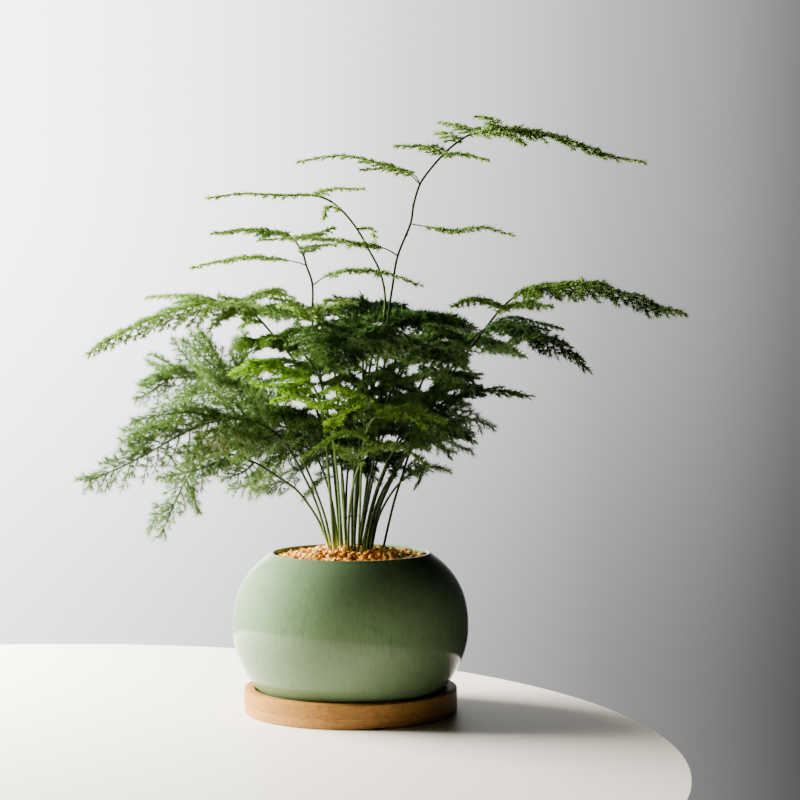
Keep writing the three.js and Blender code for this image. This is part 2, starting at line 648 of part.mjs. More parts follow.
// One leaflet alone, to see whether it is clear of the other canes.
function leafletSolid({ rows }, leaflet) {
  const pair = [rows[leaflet.row], rows[leaflet.row + 1]];
  const [first, last] = leaflet.hand > 0 ? pair : pair.reverse();
  const corners = [1, -1].flatMap((face) => [
    rowCorner(first, leaflet.hand, face),
    leafletTip(leaflet, rows[leaflet.row], face),
    rowCorner(last, leaflet.hand, face),
  ]);
  const positions = corners.flatMap((corner) => corner.toArray());
  return solidFrom(positions, [0, 1, 2, 5, 4, 3, 0, 3, 4, 0, 4, 1, 1, 4, 5, 1, 5, 2, 2, 5, 3, 2, 3, 0]);
}

// A stalk as one closed blade, its outline cut to the rib between the leaflets. It ends in a point, or with
// no end given in a flat cut.
function stalkSolid({ rows, leaflets = [], end }, grown = 0) {
  const positions = [];
  const index = [];
  const both = (place) => [1, -1].map((face) => positions.push(...place(face).toArray()) / 3 - 1);
  const faces = (a, b, c) => index.push(a[0], b[0], c[0], a[1], c[1], b[1]);
  const edge = (a, b) => index.push(a[0], a[1], b[1], a[0], b[1], b[0]);
  const sides = rows.map((row) => [1, -1].map((hand) => both((face) => rowCorner(row, hand, face, grown))));
  for (let j = 0; j + 1 < rows.length; j++) {
    const [[nearRight, nearLeft], [farRight, farLeft]] = [sides[j], sides[j + 1]];
    faces(nearLeft, nearRight, farRight);
    faces(nearLeft, farRight, farLeft);
    for (const hand of [1, -1]) {
      const leaflet = leaflets.find((one) => one.row === j && one.hand === hand);
      const [first, last] = hand > 0 ? [nearRight, farRight] : [farLeft, nearLeft];
      if (leaflet?.shown) {
        const tip = both((face) => leafletTip(leaflet, rows[j], face));
        faces(first, tip, last);
        edge(first, tip);
        edge(tip, last);
      } else {
        edge(first, last);
      }
    }
  }
  const [right, left] = sides[rows.length - 1];
  if (end) {
    const tip = both((face) => leafletTip({ tip: end }, rows[rows.length - 1], face));
    faces(left, right, tip);
    edge(right, tip);
    edge(tip, left);
  } else {
    edge(right, left);
  }
  edge(sides[0][1], sides[0][0]);
  return solidFrom(positions, index);
}

function boxed(solid) {
  return { solid, box: solid.boundingBox() };
}

function near(a, b) {
  const apart = [0, 1, 2].some(
    (k) => a.box.min[k] - CLEARANCE > b.box.max[k] || b.box.min[k] - CLEARANCE > a.box.max[k],
  );
  return !apart && a.solid.minGap(b.solid, CLEARANCE) < CLEARANCE;
}

// How far a leaflet's tip is raised or lowered, in turn, to clear the other canes, as a share of its length.
const BENDS = [0, 0.14, -0.14, 0.3, -0.3, 0.48, -0.48];

// Bends each leaflet clear of every other cane, and leaves out those that stay in the way.
function clearLeaflets(plants) {
  const placed = plants.map(({ stalks }) => stalks.map(({ rows, end }) => boxed(stalkSolid({ rows, end }))));
  plants.forEach(({ stalks }, mine) => {
    for (const grown of stalks) {
      for (const leaflet of grown.leaflets) {
        const natural = leaflet.tip.clone();
        leaflet.shown = BENDS.some((bend) => {
          leaflet.tip.copy(natural).addScaledVector(UPWARD, bend * leaflet.length);
          const tried = boxed(leafletSolid(grown, leaflet));
          const others = placed.filter((items, owner) => owner !== mine);
          const blocked = others.some((items) => items.some((item) => near(tried, item)));
          if (!blocked) placed[mine].push(tried);
          return !blocked;
        });
      }
    }
  });
}

// The gravel's height at a distance from the axis.
function gravelTop(radius) {
  return GRAVEL_EDGE_HEIGHT + GRAVEL_CROWN * (1 - THREE.MathUtils.smoothstep(radius, ...GRAVEL_SHOULDER));
}

// The plain holes that the canes stand in.
function sockets() {
  const tools = plants.map(({ stalks: [{ rows }] }) => {
    const bottom = { ...rows[0], point: rows[0].point.clone().setZ(SOCKET_BOTTOM - SEAT_GAP) };
    return stalkSolid({ rows: [bottom, rows[1], rows[2]] }, SOCKET_CLEARANCE);
  });
  return wasm.Manifold.union(tools);
}

function soil() {
  const wall = cavityWall(FLOOR_TOP, GRAVEL_BOTTOM, SEAT_GAP);
  return turned([[0, FLOOR_TOP], ...wall, [0, GRAVEL_BOTTOM]], BOWL_SEGMENTS);
}

function gravelBed() {
  const wall = cavityWall(GRAVEL_BOTTOM, GRAVEL_EDGE_HEIGHT, SEAT_GAP);
  const top = GRAVEL_RINGS.map((radius) => [radius, gravelTop(radius)]);
  return turned([[0, GRAVEL_BOTTOM], ...wall, ...top], BOWL_SEGMENTS);
}

// Grains laid out as a sunflower's seeds are, where no cane stands, each tilted its own way and half sunk
// in the bed.
function pebbles() {
  const draw = draws(PEBBLE_SEED);
  const between = ([smallest, largest]) => THREE.MathUtils.lerp(smallest, largest, draw());
  const golden = Math.PI * (3 - Math.sqrt(5));
  const stones = [];
  for (let i = 0; i < PEBBLE_COUNT; i++) {
    const radius = PEBBLE_FIELD_RADIUS * Math.sqrt((i + 0.5) / PEBBLE_COUNT);
    const [x, y] = [radius * Math.cos(i * golden), radius * Math.sin(i * golden)];
    const size = between(PEBBLE_SIZE);
    const stone = new THREE.OctahedronGeometry(1, 0);
    stone.scale(size, size * between(PEBBLE_DEPTH), size * between(PEBBLE_HEIGHT));
    stone.rotateX(draw() - 0.5).rotateY(draw() - 0.5).rotateZ(draw() * Math.PI);
    stone.translate(x, y, gravelTop(radius) + PEBBLE_RISE * size);
    const room = Math.min(...CANES.map(({ foot }) => Math.hypot(foot[0] - x, foot[1] - y)));
    if (room > CANE_HALF_WIDTH + SOCKET_CLEARANCE + PEBBLE_ROOM * size) stones.push(solidOf(stone));
  }
  return wasm.Manifold.union(stones);
}

const group = new THREE.Group();

function add(name, solid, look) {
  const mesh = new THREE.Mesh(geometryOf(solid), new THREE.MeshStandardMaterial(look));
  mesh.name = name;
  group.add(mesh);
}

const plants = CANES.map((cane) => ({
  cane,
  stalks: [caneStalk(cane), ...cane.twigs.map((twig) => twigStalk(cane, twig))],
}));
clearLeaflets(plants);

const holes = sockets();
add("saucer", saucer(), { color: 0xc9975b, roughness: 0.6 });
add("bowl", bowl(), { color: 0x8fae87, roughness: 0.18 });
add("soil", soil().subtract(holes), { color: 0x35281d, roughness: 0.95 });
add("gravel", gravelBed().add(pebbles()).subtract(holes), { color: 0xc98f55, roughness: 0.7 });
for (const { cane, stalks } of plants) {
  add(cane.name, wasm.Manifold.union(stalks.map((grown) => stalkSolid(grown))), TONES[cane.tone]);
}

export default group;
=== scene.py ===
# A potted lace fern: wiry canes with flat, feathery sprays in a gravel-dressed celadon bowl on a bamboo
# saucer. Lengths are in millimetres until a mesh is made. +X is to the viewer's right, -Y is towards the
# viewer and the origin is under the middle of the saucer.
import math

import bmesh
import bpy
import numpy as np
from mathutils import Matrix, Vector


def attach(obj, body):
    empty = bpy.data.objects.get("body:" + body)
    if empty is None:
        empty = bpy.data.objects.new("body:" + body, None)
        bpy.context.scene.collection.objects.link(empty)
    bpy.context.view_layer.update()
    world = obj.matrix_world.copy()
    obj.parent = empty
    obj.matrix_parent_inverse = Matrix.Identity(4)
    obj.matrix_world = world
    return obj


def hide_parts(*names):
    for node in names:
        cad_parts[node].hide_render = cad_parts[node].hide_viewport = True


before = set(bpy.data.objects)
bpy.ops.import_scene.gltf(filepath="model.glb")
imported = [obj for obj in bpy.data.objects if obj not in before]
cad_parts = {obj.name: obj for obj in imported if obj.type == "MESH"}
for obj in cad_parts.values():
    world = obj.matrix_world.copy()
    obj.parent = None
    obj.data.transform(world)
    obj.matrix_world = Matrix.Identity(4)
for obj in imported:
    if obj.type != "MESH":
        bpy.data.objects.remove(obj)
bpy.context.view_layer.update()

MM = 0.001
BODY = "root"
UP = np.array([0.0, 0.0, 1.0])
GOLDEN_ANGLE = math.pi * (3 - math.sqrt(5))

# The camera: level with the upper foliage, aimed a little down and to the right of the bowl
VIEW_DISTANCE = 1308
VIEW_HEIGHT = 247
AIM = (31.4, 0, 197.5)
PHOTO_WIDTH_PX = 800
FOCAL_PX = 2063
SENSOR_WIDTH = 36

# Saucer and bowl, as in the solids
SAUCER_RADIUS = 67.8
SAUCER_HEIGHT = 15.3
SAUCER_EDGE = 1.2
RECESS_RADIUS = 61
RECESS_FLOOR = 8
BELLY_RADIUS = 75
BELLY_HEIGHT = 52
SHOULDER_RISE = 61.9
SHOULDER_POWER = 2.5
LOWER_DROP = 64.8
LOWER_POWER = 1.81
RIM_HEIGHT = 100.8
WALL = 4
FLOOR_TOP = 16
FOOT_RING_WIDTH = 6
FOOT_RING_DEPTH = 2
LIP_DROP = 1.2
LIP_CREST_INSET = 1.4
LIP_INNER_INSET = 3.2
LIP_INNER_DROP = 0.5
TURNED_SEGMENTS = 96

# Gravel: its bed as in the solids, and its grains
GRAVEL_BOTTOM = 90
GRAVEL_EDGE_HEIGHT = 96.8
GRAVEL_CROWN = 5.5
GRAVEL_SHOULDER = (12, 46)
SEAT_GAP = 0.3
BED_DEPTH = 1.2
BED_RADII = (46, 43, 40, 36, 30, 15, 0)
GRAIN_SEED = 7
GRAINS = 420
GRAIN_SIZE = (1.9, 3.5)
GRAIN_SCATTER = 0.35
GRAIN_RISE = (-0.5, 0.7)
GRAIN_INSET = 1.6
GRAIN_FACETS = 7
FACET_DISTANCE = (0.55, 0.9)
GRAIN_COLOURS = np.array([
    (0.80, 0.40, 0.060), (0.68, 0.29, 0.030), (0.84, 0.49, 0.10), (0.42, 0.14, 0.013), (0.88, 0.64, 0.22),
    (0.60, 0.235, 0.024), (0.22, 0.070, 0.008), (0.82, 0.44, 0.065),
])
GRAIN_SHARES = np.array([5, 5, 4, 3, 2, 4, 1.5, 4])
# The bed's colour, darker than any grain, is painted shade: it shows in the gaps between the grains
BED_SHADE_COLOUR = (0.132, 0.042, 0.0048)

# Canes: their sockets, the distances between their joints, and their radii above the gravel, where the
# foliage starts and at the tip. A pale cane is thicker at its foot. The bark turns from pale to green and
# then dark between two heights each, given as a plain part and what a pale cane adds, and leafy green on the
# stretch that LEAFY_BARK counts from where the foliage starts.
SOCKET_BOTTOM = 72
CANE_FOOT_HEIGHT = 104
CANE_STEP = 3.5
CANE_RADII = (0.8, 0.7, 0.3)
PALE_THICKENING = 0.3
FOOT_LENGTH = 22
GREEN_BARK = ((98, 0), (101, 14))
DARK_BARK = ((98, 26), (106, 56))
LEAFY_BARK = (-10, 15)
JOINT_GAPS = (13, 24)
JOINT_REACH = 0.9
JOINT_SWELLING = 0.14
TWIG_RADII = (0.5, 0.18)
BARK_PALE = np.array([0.72, 0.70, 0.24])
BARK_GREEN = np.array([0.085, 0.135, 0.038])
BARK_DARK = np.array([0.021, 0.036, 0.012])
BARK_YOUNG = np.array([0.075, 0.130, 0.028])
BARK_LEAFY = np.array([0.055, 0.110, 0.018])
BRACT = np.array([0.20, 0.15, 0.07])
BRACT_LENGTH = 1.9
BRACT_STAND = 0.9
BRACT_WIDTH = 1.0
FIRST_SEED = 100

# Side branches and their forks: how far a branch bows back and up, as shares of its length, its radius at
# the foot, the middle and the tip, as a plain part and a share of its length, the shortest branch that
# forks, the forks' angles in degrees, longest length and width, and how dark the wood is beside the needles
BRANCH_BOW = (0.14, 0.08)
BRANCH_RADII = ((0.26, 0.006), (0.2, 0.004), (0.1, 0))
SHORTEST_FORKED = 6
FORK_ANGLES = (40, 58)
LONGEST_FORK = 12
FORK_WIDTH = 0.34
WOOD_SHADE = 0.8

# Side shoots that fill the middle of the plant: their length, reach and roll, the spread of their bearings
# in degrees, how far up their middle stands and how far up its cane the last one starts, as shares, how far
# they come to the left and the right, in the cloud on the left too, and how high on either side of a line
SHOOT_LENGTH = (26, 52)
SHOOT_REACH = (9, 14)
SHOOT_ROLL = (-16, 16)
SHOOT_SPREAD = 32
SHOOT_ARCH = 0.13
LAST_SHOOT = 0.93
SHORTEST_SHOOT = 12
SHOOT_LIMITS = (-70, 75)
CLOUD_LIMIT = -134
SHOOT_CEILINGS = (256, 246)
CEILING_LINE = -15
CLOUD = ("cloud_low", "cloud_high")

# A patch of dry needles in the cloud
DRY_CANES = ("cloud_low", "middle_low")
DRY_SPOT = np.array([-82.0, -32.0, 171.0])
DRY_SIZE = 8
DRY_STRETCH = (0.8, 0.4, 1.3)
DRY_SHARE = 0.42
STRAW = np.array([0.56, 0.36, 0.17])

# The table top, as the floor
TABLE_CENTRE = (-226, -142)
TABLE_RADIUS = 415
TABLE_SEGMENTS = 240

# The studio's light: greys of the backdrop by share of the way from the left to the right of the sky, how
# bright the backdrop is, the broad window light's direction, tightness and brightness, and the key lamp
BACKDROP = [(0.0, 0.1), (0.3, 0.25), (0.41, 1.0), (0.464, 0.62), (0.512, 0.28), (0.56, 0.125), (0.585, 0.08),
            (0.605, 0.042), (0.66, 0.012), (1.0, 0.005)]
BACKDROP_LIGHT = 6.0
WINDOW_AT = (-0.9, 0.3, 0.3)
WINDOW_FOCUS = 3.0
WINDOW_LIGHT = 2.7
KEY_PLACE = (-620, 210, 330)
KEY_AIM = (0, 0, 100)
KEY_SIDE = 520
KEY_WATTS = 86


def built(**changes):
    """How foliage is built. pitch is the distance between side branches, fork the distance between their own
    forks, split a fork's length as a share of what is left of its branch, gap the distance between needle
    tufts and tuft the needles in one. needle is their shortest and longest length, width their width at the
    foot and angle how far they stand off their branch, in degrees. flatness is how far, in degrees, needles
    and forks stray from the flat of the spray. ruffle and droop are how far side branches stray from it and
    hang below it, as shares of their length. spine is the distance between the tufts on the spray's own
    spine, and tip how long the branches at its tip are, as a share of its reach."""
    common = {
        "pitch": 2.8, "fork": 2.4, "split": 0.25, "gap": 1.2, "tuft": 5, "needle": (2.6, 4.2), "width": 0.68,
        "angle": (22, 60), "flatness": 36, "ruffle": 0.17, "droop": 0.1, "spine": 1.6, "tip": 0.1,
    }
    return {**common, **changes}


# The foliage of each tone, and three more: hanging in front and on the dark right side, bolder on the thin
# sprays at the top, and coarser and denser inside and behind the mass
STYLES = {
    "mature": built(),
    "young": built(pitch=2.6, split=0.3, width=0.66, flatness=40, ruffle=0.2, droop=0.08),
    "airy": built(pitch=2.6, fork=3.0, split=0.55, gap=1.3, needle=(3.4, 6.0), width=0.38, angle=(26, 62),
                  flatness=90, ruffle=0.45, spine=0.7, tip=0.2),
    "hanging": built(split=0.28, gap=1.25, needle=(3.0, 4.8), width=0.7, flatness=40, droop=0.24, spine=1.4),
    "thin": built(width=0.85, flatness=40, droop=0.15, spine=1.4, tip=0.12),
    "inner": built(pitch=3.0, fork=2.6, split=0.3, gap=1.5, tuft=4, needle=(3.4, 5.6), width=0.98,
                   angle=(28, 78), flatness=48, ruffle=0.15, droop=0.12),
}

# Needle colours, at the foot and the tip of a spray
GREENS = {
    "mature": ((0.060, 0.132, 0.028), (0.128, 0.226, 0.048)),
    "young": ((0.260, 0.460, 0.030), (0.410, 0.610, 0.052)),
    "airy": ((0.160, 0.265, 0.082), (0.320, 0.450, 0.160)),
    "fresh": ((0.086, 0.175, 0.022), (0.175, 0.305, 0.040)),
    # spring, light and lime are painted light: lighter copies of the greens for the sprays at the top and
    # the left of the plant, where the light falls
    "spring": ((0.150, 0.260, 0.046), (0.265, 0.405, 0.085)),
    "light": ((0.270, 0.405, 0.108), (0.440, 0.580, 0.190)),
    "lime": ((0.400, 0.540, 0.150), (0.600, 0.740, 0.270)),
    # dusky and deep are painted shade: darker copies of the greens for the sprays inside, behind, low in and
    # on the right of the mass, where shade falls
    "dusky": ((0.075, 0.135, 0.035), (0.150, 0.235, 0.065)),
    "deep": ((0.030, 0.066, 0.016), (0.058, 0.110, 0.027)),
}


def twig(since, reach, roll, route, leafy=0):
    """A twig that starts at the point of its cane's route that since names. The rest is as for a cane."""
    return {"from": since, "reach": reach, "roll": roll, "route": route, "leafy": leafy}


def cane(name, tone, style=None, look=None, twigs=(), fine=(), shoots=(0, 0), **values):
    """A cane. Its values are foot, where it leaves the gravel; leafy, the point of its route where its
    foliage starts; reach, its longest side branch; roll, the sideways lean of its flat foliage in degrees;
    and route, its (across, up, depth) points read on the upright plane through the bowl's axis, with depth
    positive away from the viewer. style and look name its foliage and colours where they aren't its tone's.
    fine are twigs too fine for the solids. shoots says how many side shoots it bears to fill the plant, and
    from what height upwards."""
    twigs = (*twigs, *fine)
    return {
        "name": name, "tone": tone, "style": style or tone, "look": look or tone, "twigs": twigs,
        "shoots": shoots, **values,
    }


# Painted light and shade in the looks: the canes at the top and the left take the lighter spring, light and
# lime greens, and canes inside, behind, low in and on the right of the mass take darker greens than their
# tone's: mature on airy canes, dusky or deep
CANES = [
    cane("low_left", "airy", foot=(-14.3, 1.5), leafy=5, reach=20, roll=60, route=[
        (-19, 118, 0), (-26, 130, -2), (-35, 141, -4), (-48, 150, -6), (-61, 158, -8), (-75, 163, -10),
        (-92, 160, -12), (-104, 147, -14), (-112, 131, -16), (-121, 110, -18),
    ], twigs=[
        twig(5, 9, 60, [(-92, 155, -20), (-108, 151, -26), (-123, 148, -30)]),
        twig(4, 14, 45, [(-68, 152, -20), (-82, 147, -30)]),
    ], fine=[
        twig(3, 13, 50, [(-56, 148, 2), (-66, 143, 6), (-78, 141, 10)]),
        twig(2, 12, 50, [(-44, 146, 4), (-52, 143, 8), (-61, 140, 12)]),
        twig(8, 8, 60, [(-122, 124, -12), (-129, 114, -8)]),
        twig(7, 8, 60, [(-99, 134, -22), (-96, 126, -26)]),
    ]),
    cane("cloud_low", "airy", foot=(-13.8, -4.2), leafy=4, reach=34, roll=56, shoots=(6, 168), route=[
        (-18, 120, -6), (-23, 135, -9), (-30, 150, -13), (-37, 163, -18), (-47, 176, -24), (-62, 184, -30),
        (-82, 185, -36), (-105, 177, -42), (-130, 163, -48), (-150, 153, -52), (-168, 146, -56),
    ], twigs=[
        twig(6, 11, 50, [(-100, 190, -44), (-120, 188, -50), (-139, 184, -56)]),
        twig(4, 12, 50, [(-62, 170, -34), (-84, 166, -44), (-104, 160, -52)]),
    ], fine=[
        twig(7, 13, 60, [(-118, 180, -34), (-132, 180, -28), (-144, 178, -24)]),
        twig(8, 11, 60, [(-134, 172, -44), (-146, 172, -40)]),
        twig(5, 12, 60, [(-74, 176, -26), (-92, 170, -20), (-108, 168, -16)]),
    ]),
    cane("cloud_high", "airy", foot=(-12.5, 6), leafy=4, reach=22, roll=70, shoots=(7, 178), route=[
        (-16, 122, 8), (-21, 137, 10), (-27, 152, 12), (-34, 168, 15), (-44, 187, 18), (-58, 201, 22),
        (-75, 209, 25), (-95, 212, 28), (-115, 211, 31), (-133, 207, 34),
    ], twigs=[
        twig(6, 13, 80, [(-86, 222, 18), (-94, 232, 14), (-101, 240, 10)]),
        twig(5, 14, 80, [(-66, 216, 14), (-70, 229, 8), (-66, 240, 4)]),
        twig(7, 10, 80, [(-104, 225, 36), (-113, 236, 42)]),
        twig(4, 16, 60, [(-58, 184, 30), (-78, 180, 42), (-98, 176, 52)]),
    ], fine=[
        twig(5, 14, 60, [(-72, 203, 14), (-92, 202, 6), (-112, 199, 0)]),
        twig(8, 12, 60, [(-126, 203, 24), (-136, 198, 20)]),
        twig(6, 9, 60, [(-90, 222, 24), (-99, 230, 22), (-106, 236, 20)]),
        twig(6, 9, 70, [(-84, 224, 12), (-90, 235, 6), (-95, 241, 2)]),
        twig(5, 10, 70, [(-68, 214, 6), (-75, 226, 0), (-71, 237, -6)]),
        twig(7, 12, 60, [(-98, 204, 40), (-112, 196, 46), (-126, 192, 50)]),
    ]),
    cane("bright_left_high", "young", foot=(-10.5, -8.5), leafy=4, reach=20, roll=20,
         shoots=(2, 192), route=[
        (-12, 125, -12), (-14, 150, -17), (-16, 175, -23), (-19, 195, -31), (-26, 209, -41),
        (-40, 216, -53), (-57, 218, -65), (-74, 214, -74),
    ], twigs=[
        twig(4, 10, 20, [(-40, 205, -62), (-62, 208, -84)]),
    ]),
    cane("bright_left_low", "young", foot=(-6, -11), leafy=3, reach=14, roll=14, shoots=(1, 175), route=[
        (-7, 130, -18), (-9, 155, -27), (-12, 177, -38), (-18, 191, -52), (-32, 199, -68), (-49, 197, -82),
    ], twigs=[
        twig(2, 8, -15, [(-8, 188, -52), (4, 193, -66)]),
    ]),
    cane("arch_left", "mature", foot=(-9.5, 1), leafy=6, reach=30, roll=17,
         style="hanging", look="light", shoots=(4, 195), route=[
        (-12, 130, 1), (-15, 160, 2), (-21, 190, 3), (-30, 214, 3), (-39, 227, 2), (-50, 240, 0),
        (-59, 250, -3), (-70, 257, -6), (-88, 259, -11), (-108, 255, -17), (-130, 247, -24),
        (-150, 237, -31), (-165.5, 227, -38),
    ], twigs=[
        twig(7, 18, 14, [(-62, 264, 8), (-50, 267, 22), (-36, 262, 36)]),
        twig(8, 10, 8, [(-102, 264, 10), (-128, 263, 30)]),
    ]),
    cane("thin_left", "mature", foot=(-7, 8.5), leafy=8, reach=17, roll=4,
         style="thin", look="light", route=[
        (-9, 135, 12), (-12, 165, 16), (-17, 200, 20), (-22, 230, 22), (-24, 247, 22), (-24, 270, 20),
        (-28, 283, 18), (-30, 290, 16), (-37, 300, 12), (-50, 304, 6), (-68, 305, -2), (-86, 303, -12),
    ], twigs=[
        twig(4, 9, 0, [(-33, 255, 30), (-46, 258, 40)]),
        twig(4, 10, 0, [(-16, 255, 34), (-2, 261, 48)]),
        twig(5, 12, -6, [(-15, 276, 12), (2, 280, 2), (22, 278, -10), (45, 270, -22)], leafy=1),
        twig(6, 11, 4, [(-40, 286, 26), (-60, 288, 36), (-80, 286, 46), (-101, 281, 56)], leafy=1),
        twig(7, 8, 0, [(-24, 295, 8), (-8, 296, -4)]),
        twig(8, 10, 0, [(-24, 302, 24), (-10, 307, 38)]),
    ], fine=[
        twig(4, 9, 0, [(-30, 255, 14), (-38, 260, 6), (-50, 262, -4)]),
        twig(4, 9, 0, [(-18, 258, 28), (-8, 261, 22), (4, 259, 16)]),
    ]),
    cane("young_arch", "young", foot=(1.5, 5.5), leafy=11, reach=6, roll=10,
         style="thin", look="lime", route=[
        (4, 130, 6), (7, 160, 8), (12, 190, 9), (17, 220, 9), (20.5, 245, 8), (22, 262, 7), (19, 278, 6),
        (12, 292, 5), (4, 306, 3), (-5, 317, 0), (-14, 324, -3), (-25, 327, -6), (-45, 327, -12),
        (-68, 328, -18), (-91, 325, -24),
    ], twigs=[
        twig(11, 5, 0, [(-12, 331, -20), (8, 331, -34)]),
        twig(9, 3, 0, [(-14, 320, -12), (-17, 312, -16)]),
        twig(8, 3, 0, [(13, 306, 12), (16, 298, 16)]),
    ]),
    cane("tallest", "mature", foot=(5.5, 1.5), leafy=13, reach=20, roll=-8,
         style="thin", look="light", route=[
        (8.5, 130, 0), (12.5, 160, -2), (18, 190, -4), (21.5, 218, -6), (24, 250, -8), (27, 272, -9),
        (30, 289, -9), (38, 309, -8), (40, 321, -7), (44, 334, -6), (51, 344, -4), (59, 353, -1),
        (67, 360, 2), (77, 366, 5), (90, 369, 7), (110, 368, 7), (130, 364, 4), (148, 358, -2),
        (165, 352, -8), (187, 348, -16),
    ], twigs=[
        twig(6, 11, 4, [(20, 294, -22), (2, 297, -34), (-25, 300, -48), (-58, 299, -64)], leafy=1),
        twig(7, 9, -4, [(50, 307, -18), (64, 305, -28), (83, 307, -40), (103, 302, -52)], leafy=1),
        twig(9, 10, 4, [(36, 341, 8), (20, 347, 18), (-6, 352, 30), (-33, 348, 42)], leafy=1),
        twig(9, 8, 0, [(40, 340, -16), (26, 344, -28), (7, 343, -40)], leafy=1),
        twig(11, 9, 0, [(48, 358, -14), (28, 358, -32)]),
        twig(11, 8, 0, [(72, 353, 16), (87, 349, 30)]),
        twig(12, 8, 0, [(62, 366, 18), (55, 366, 32)]),
        twig(13, 8, 0, [(70, 371, 20), (57, 373, 38)]),
        twig(13, 9, -10, [(98, 366, -18), (111, 359, -36)]),
        twig(14, 6, 0, [(90, 375, -10), (79, 377, -26)]),
    ]),
    cane("right_high", "mature", foot=(11, 5), leafy=8, reach=26, roll=-18,
         style="hanging", look="spring", route=[
        (15, 124, 7), (22.5, 142, 9), (33.5, 160, 11), (46, 182, 13), (57, 203, 14), (70, 222, 14),
        (82, 238, 13), (96, 256, 10), (108, 265, 7), (124, 270, 2), (142, 271, -5), (162, 268, -13),
        (182, 262, -21), (197, 256, -27), (212, 253, -33),
    ], twigs=[
        twig(7, 11, 16, [(88, 261, -6), (76, 261, -18), (65, 257, -28)]),
        twig(7, 13, -14, [(110, 259, -10), (128, 257, -26)]),
        twig(8, 10, -20, [(112, 268, -8), (120, 263, -26)]),
    ]),
    cane("right_dark", "mature", foot=(10.5, -4), leafy=7, reach=25, roll=-12,
         style="hanging", shoots=(4, 190), route=[
        (14, 123, -8), (20.5, 140, -12), (30.5, 156, -16), (43, 177, -21), (53, 198, -26), (63, 216, -31),
        (73, 232, -36), (86, 243, -42), (101, 245, -49), (118, 240, -57), (135, 230, -65), (151, 217, -73),
    ], twigs=[
        twig(7, 7, -10, [(102, 250, -24), (118, 247, -14), (134, 243, -8)]),
        twig(6, 13, 10, [(62, 242, -52), (48, 245, -66)]),
    ]),
    cane("right_mid", "mature", foot=(7.5, 8.5), leafy=6, reach=26, roll=6,
         style="inner", shoots=(6, 172), route=[
        (12, 124, 13), (18, 142, 18), (25, 160, 24), (34, 182, 31), (43, 204, 38), (52, 220, 45),
        (63, 231, 52), (78, 235, 60), (94, 232, 68), (109, 226, 76),
    ], fine=[
        twig(3, 14, -6, [(46, 196, 26), (58, 200, 18), (70, 198, 12)]),
    ]),
    cane("right_low", "mature", foot=(13.8, 2.6), leafy=4, reach=23, roll=-6, shoots=(2, 172), route=[
        (17, 124, 1), (24.5, 143, 0), (35.5, 163, -2), (47, 182, -3), (58, 195, -4), (74, 202, -6),
        (94, 203, -9), (115, 200, -12),
    ], fine=[
        twig(3, 12, -6, [(44, 196, -14), (56, 204, -22), (68, 206, -30)]),
    ]),
    cane("right_fuzzy", "airy", foot=(8.5, -9.5), leafy=3, reach=18, roll=-40,
         look="mature", shoots=(2, 158), route=[
        (12, 125, -16), (18, 145, -25), (26, 163, -36), (37, 177, -47), (53, 186, -58), (71, 187, -68),
        (91, 180, -78),
    ], twigs=[
        twig(3, 9, -40, [(50, 171, -62), (66, 164, -76)]),
    ]),
    cane("right_tail", "mature", foot=(11.5, 9.5), leafy=3, reach=18, roll=-10, look="deep", route=[
        (16, 126, 17), (24, 146, 26), (35, 163, 37), (48, 175, 48), (63, 177, 60), (80, 171, 72),
    ], twigs=[
        twig(2, 6, -30, [(46, 172, 24), (56, 170, 22), (64, 160, 22)]),
    ]),
    cane("lone_right", "mature", foot=(21, 3), leafy=5, reach=22, roll=0, shoots=(4, 168), route=[
        (24.5, 120, 3), (28, 134, 3), (33, 150, 4), (38, 166, 6), (45, 186, 12), (54, 203, 20),
        (66, 213, 30), (82, 214, 42),
    ], twigs=[
        twig(2, 9, -60, [(42, 157, -10), (46, 152, -20), (41, 142, -26)]),
    ]),
    cane("front_veil", "mature", foot=(2.5, -8), leafy=4, reach=44, roll=4,
         style="hanging", shoots=(9, 200), route=[
        (3, 130, -15), (5, 160, -25), (7, 190, -37), (8, 215, -51), (7, 232, -66), (4, 240, -84),
        (0, 238, -104), (-5, 230, -123), (-9, 219, -141),
    ]),
    cane("front_right", "mature", foot=(6, -4), leafy=5, reach=30, roll=-10,
         style="hanging", shoots=(6, 184), route=[
        (9, 128, -9), (14, 155, -16), (20, 182, -25), (27, 207, -37), (35, 222, -52), (45, 230, -70),
        (57, 229, -90), (69, 221, -110),
    ], twigs=[
        twig(3, 12, -12, [(36, 212, -50), (52, 214, -66), (70, 210, -80)]),
    ], fine=[
        twig(3, 13, -8, [(30, 230, -44), (42, 238, -56), (54, 239, -66)]),
    ]),
    cane("back_left", "mature", foot=(-3, 10.5), leafy=5, reach=34, roll=-12,
         style="inner", shoots=(8, 186), route=[
        (-5, 135, 18), (-6, 165, 28), (-8, 195, 40), (-11, 222, 53), (-16, 240, 68), (-25, 251, 85),
        (-38, 254, 103), (-53, 251, 120),
    ], fine=[
        twig(3, 16, 10, [(-24, 216, 60), (-42, 212, 66), (-62, 207, 72)]),
    ]),
    cane("back_centre", "mature", foot=(1.5, 12.5), leafy=4, reach=36, roll=-10,
         style="inner", look="deep", shoots=(8, 182), route=[
        (3, 135, 21), (5, 168, 33), (8, 200, 46), (11, 228, 60), (13, 248, 76), (14, 257, 95),
        (14, 257, 115), (12, 250, 134),
    ], twigs=[
        twig(3, 12, 0, [(0, 240, 70), (-14, 243, 80)]),
    ]),
    cane("back_right", "mature", foot=(6, 13), leafy=5, reach=25, roll=-7,
         style="inner", look="deep", shoots=(8, 178), route=[
        (11, 132, 23), (17, 160, 34), (25, 190, 47), (33, 216, 61), (42, 235, 77), (53, 245, 95),
        (66, 245, 113), (80, 237, 130),
    ], fine=[
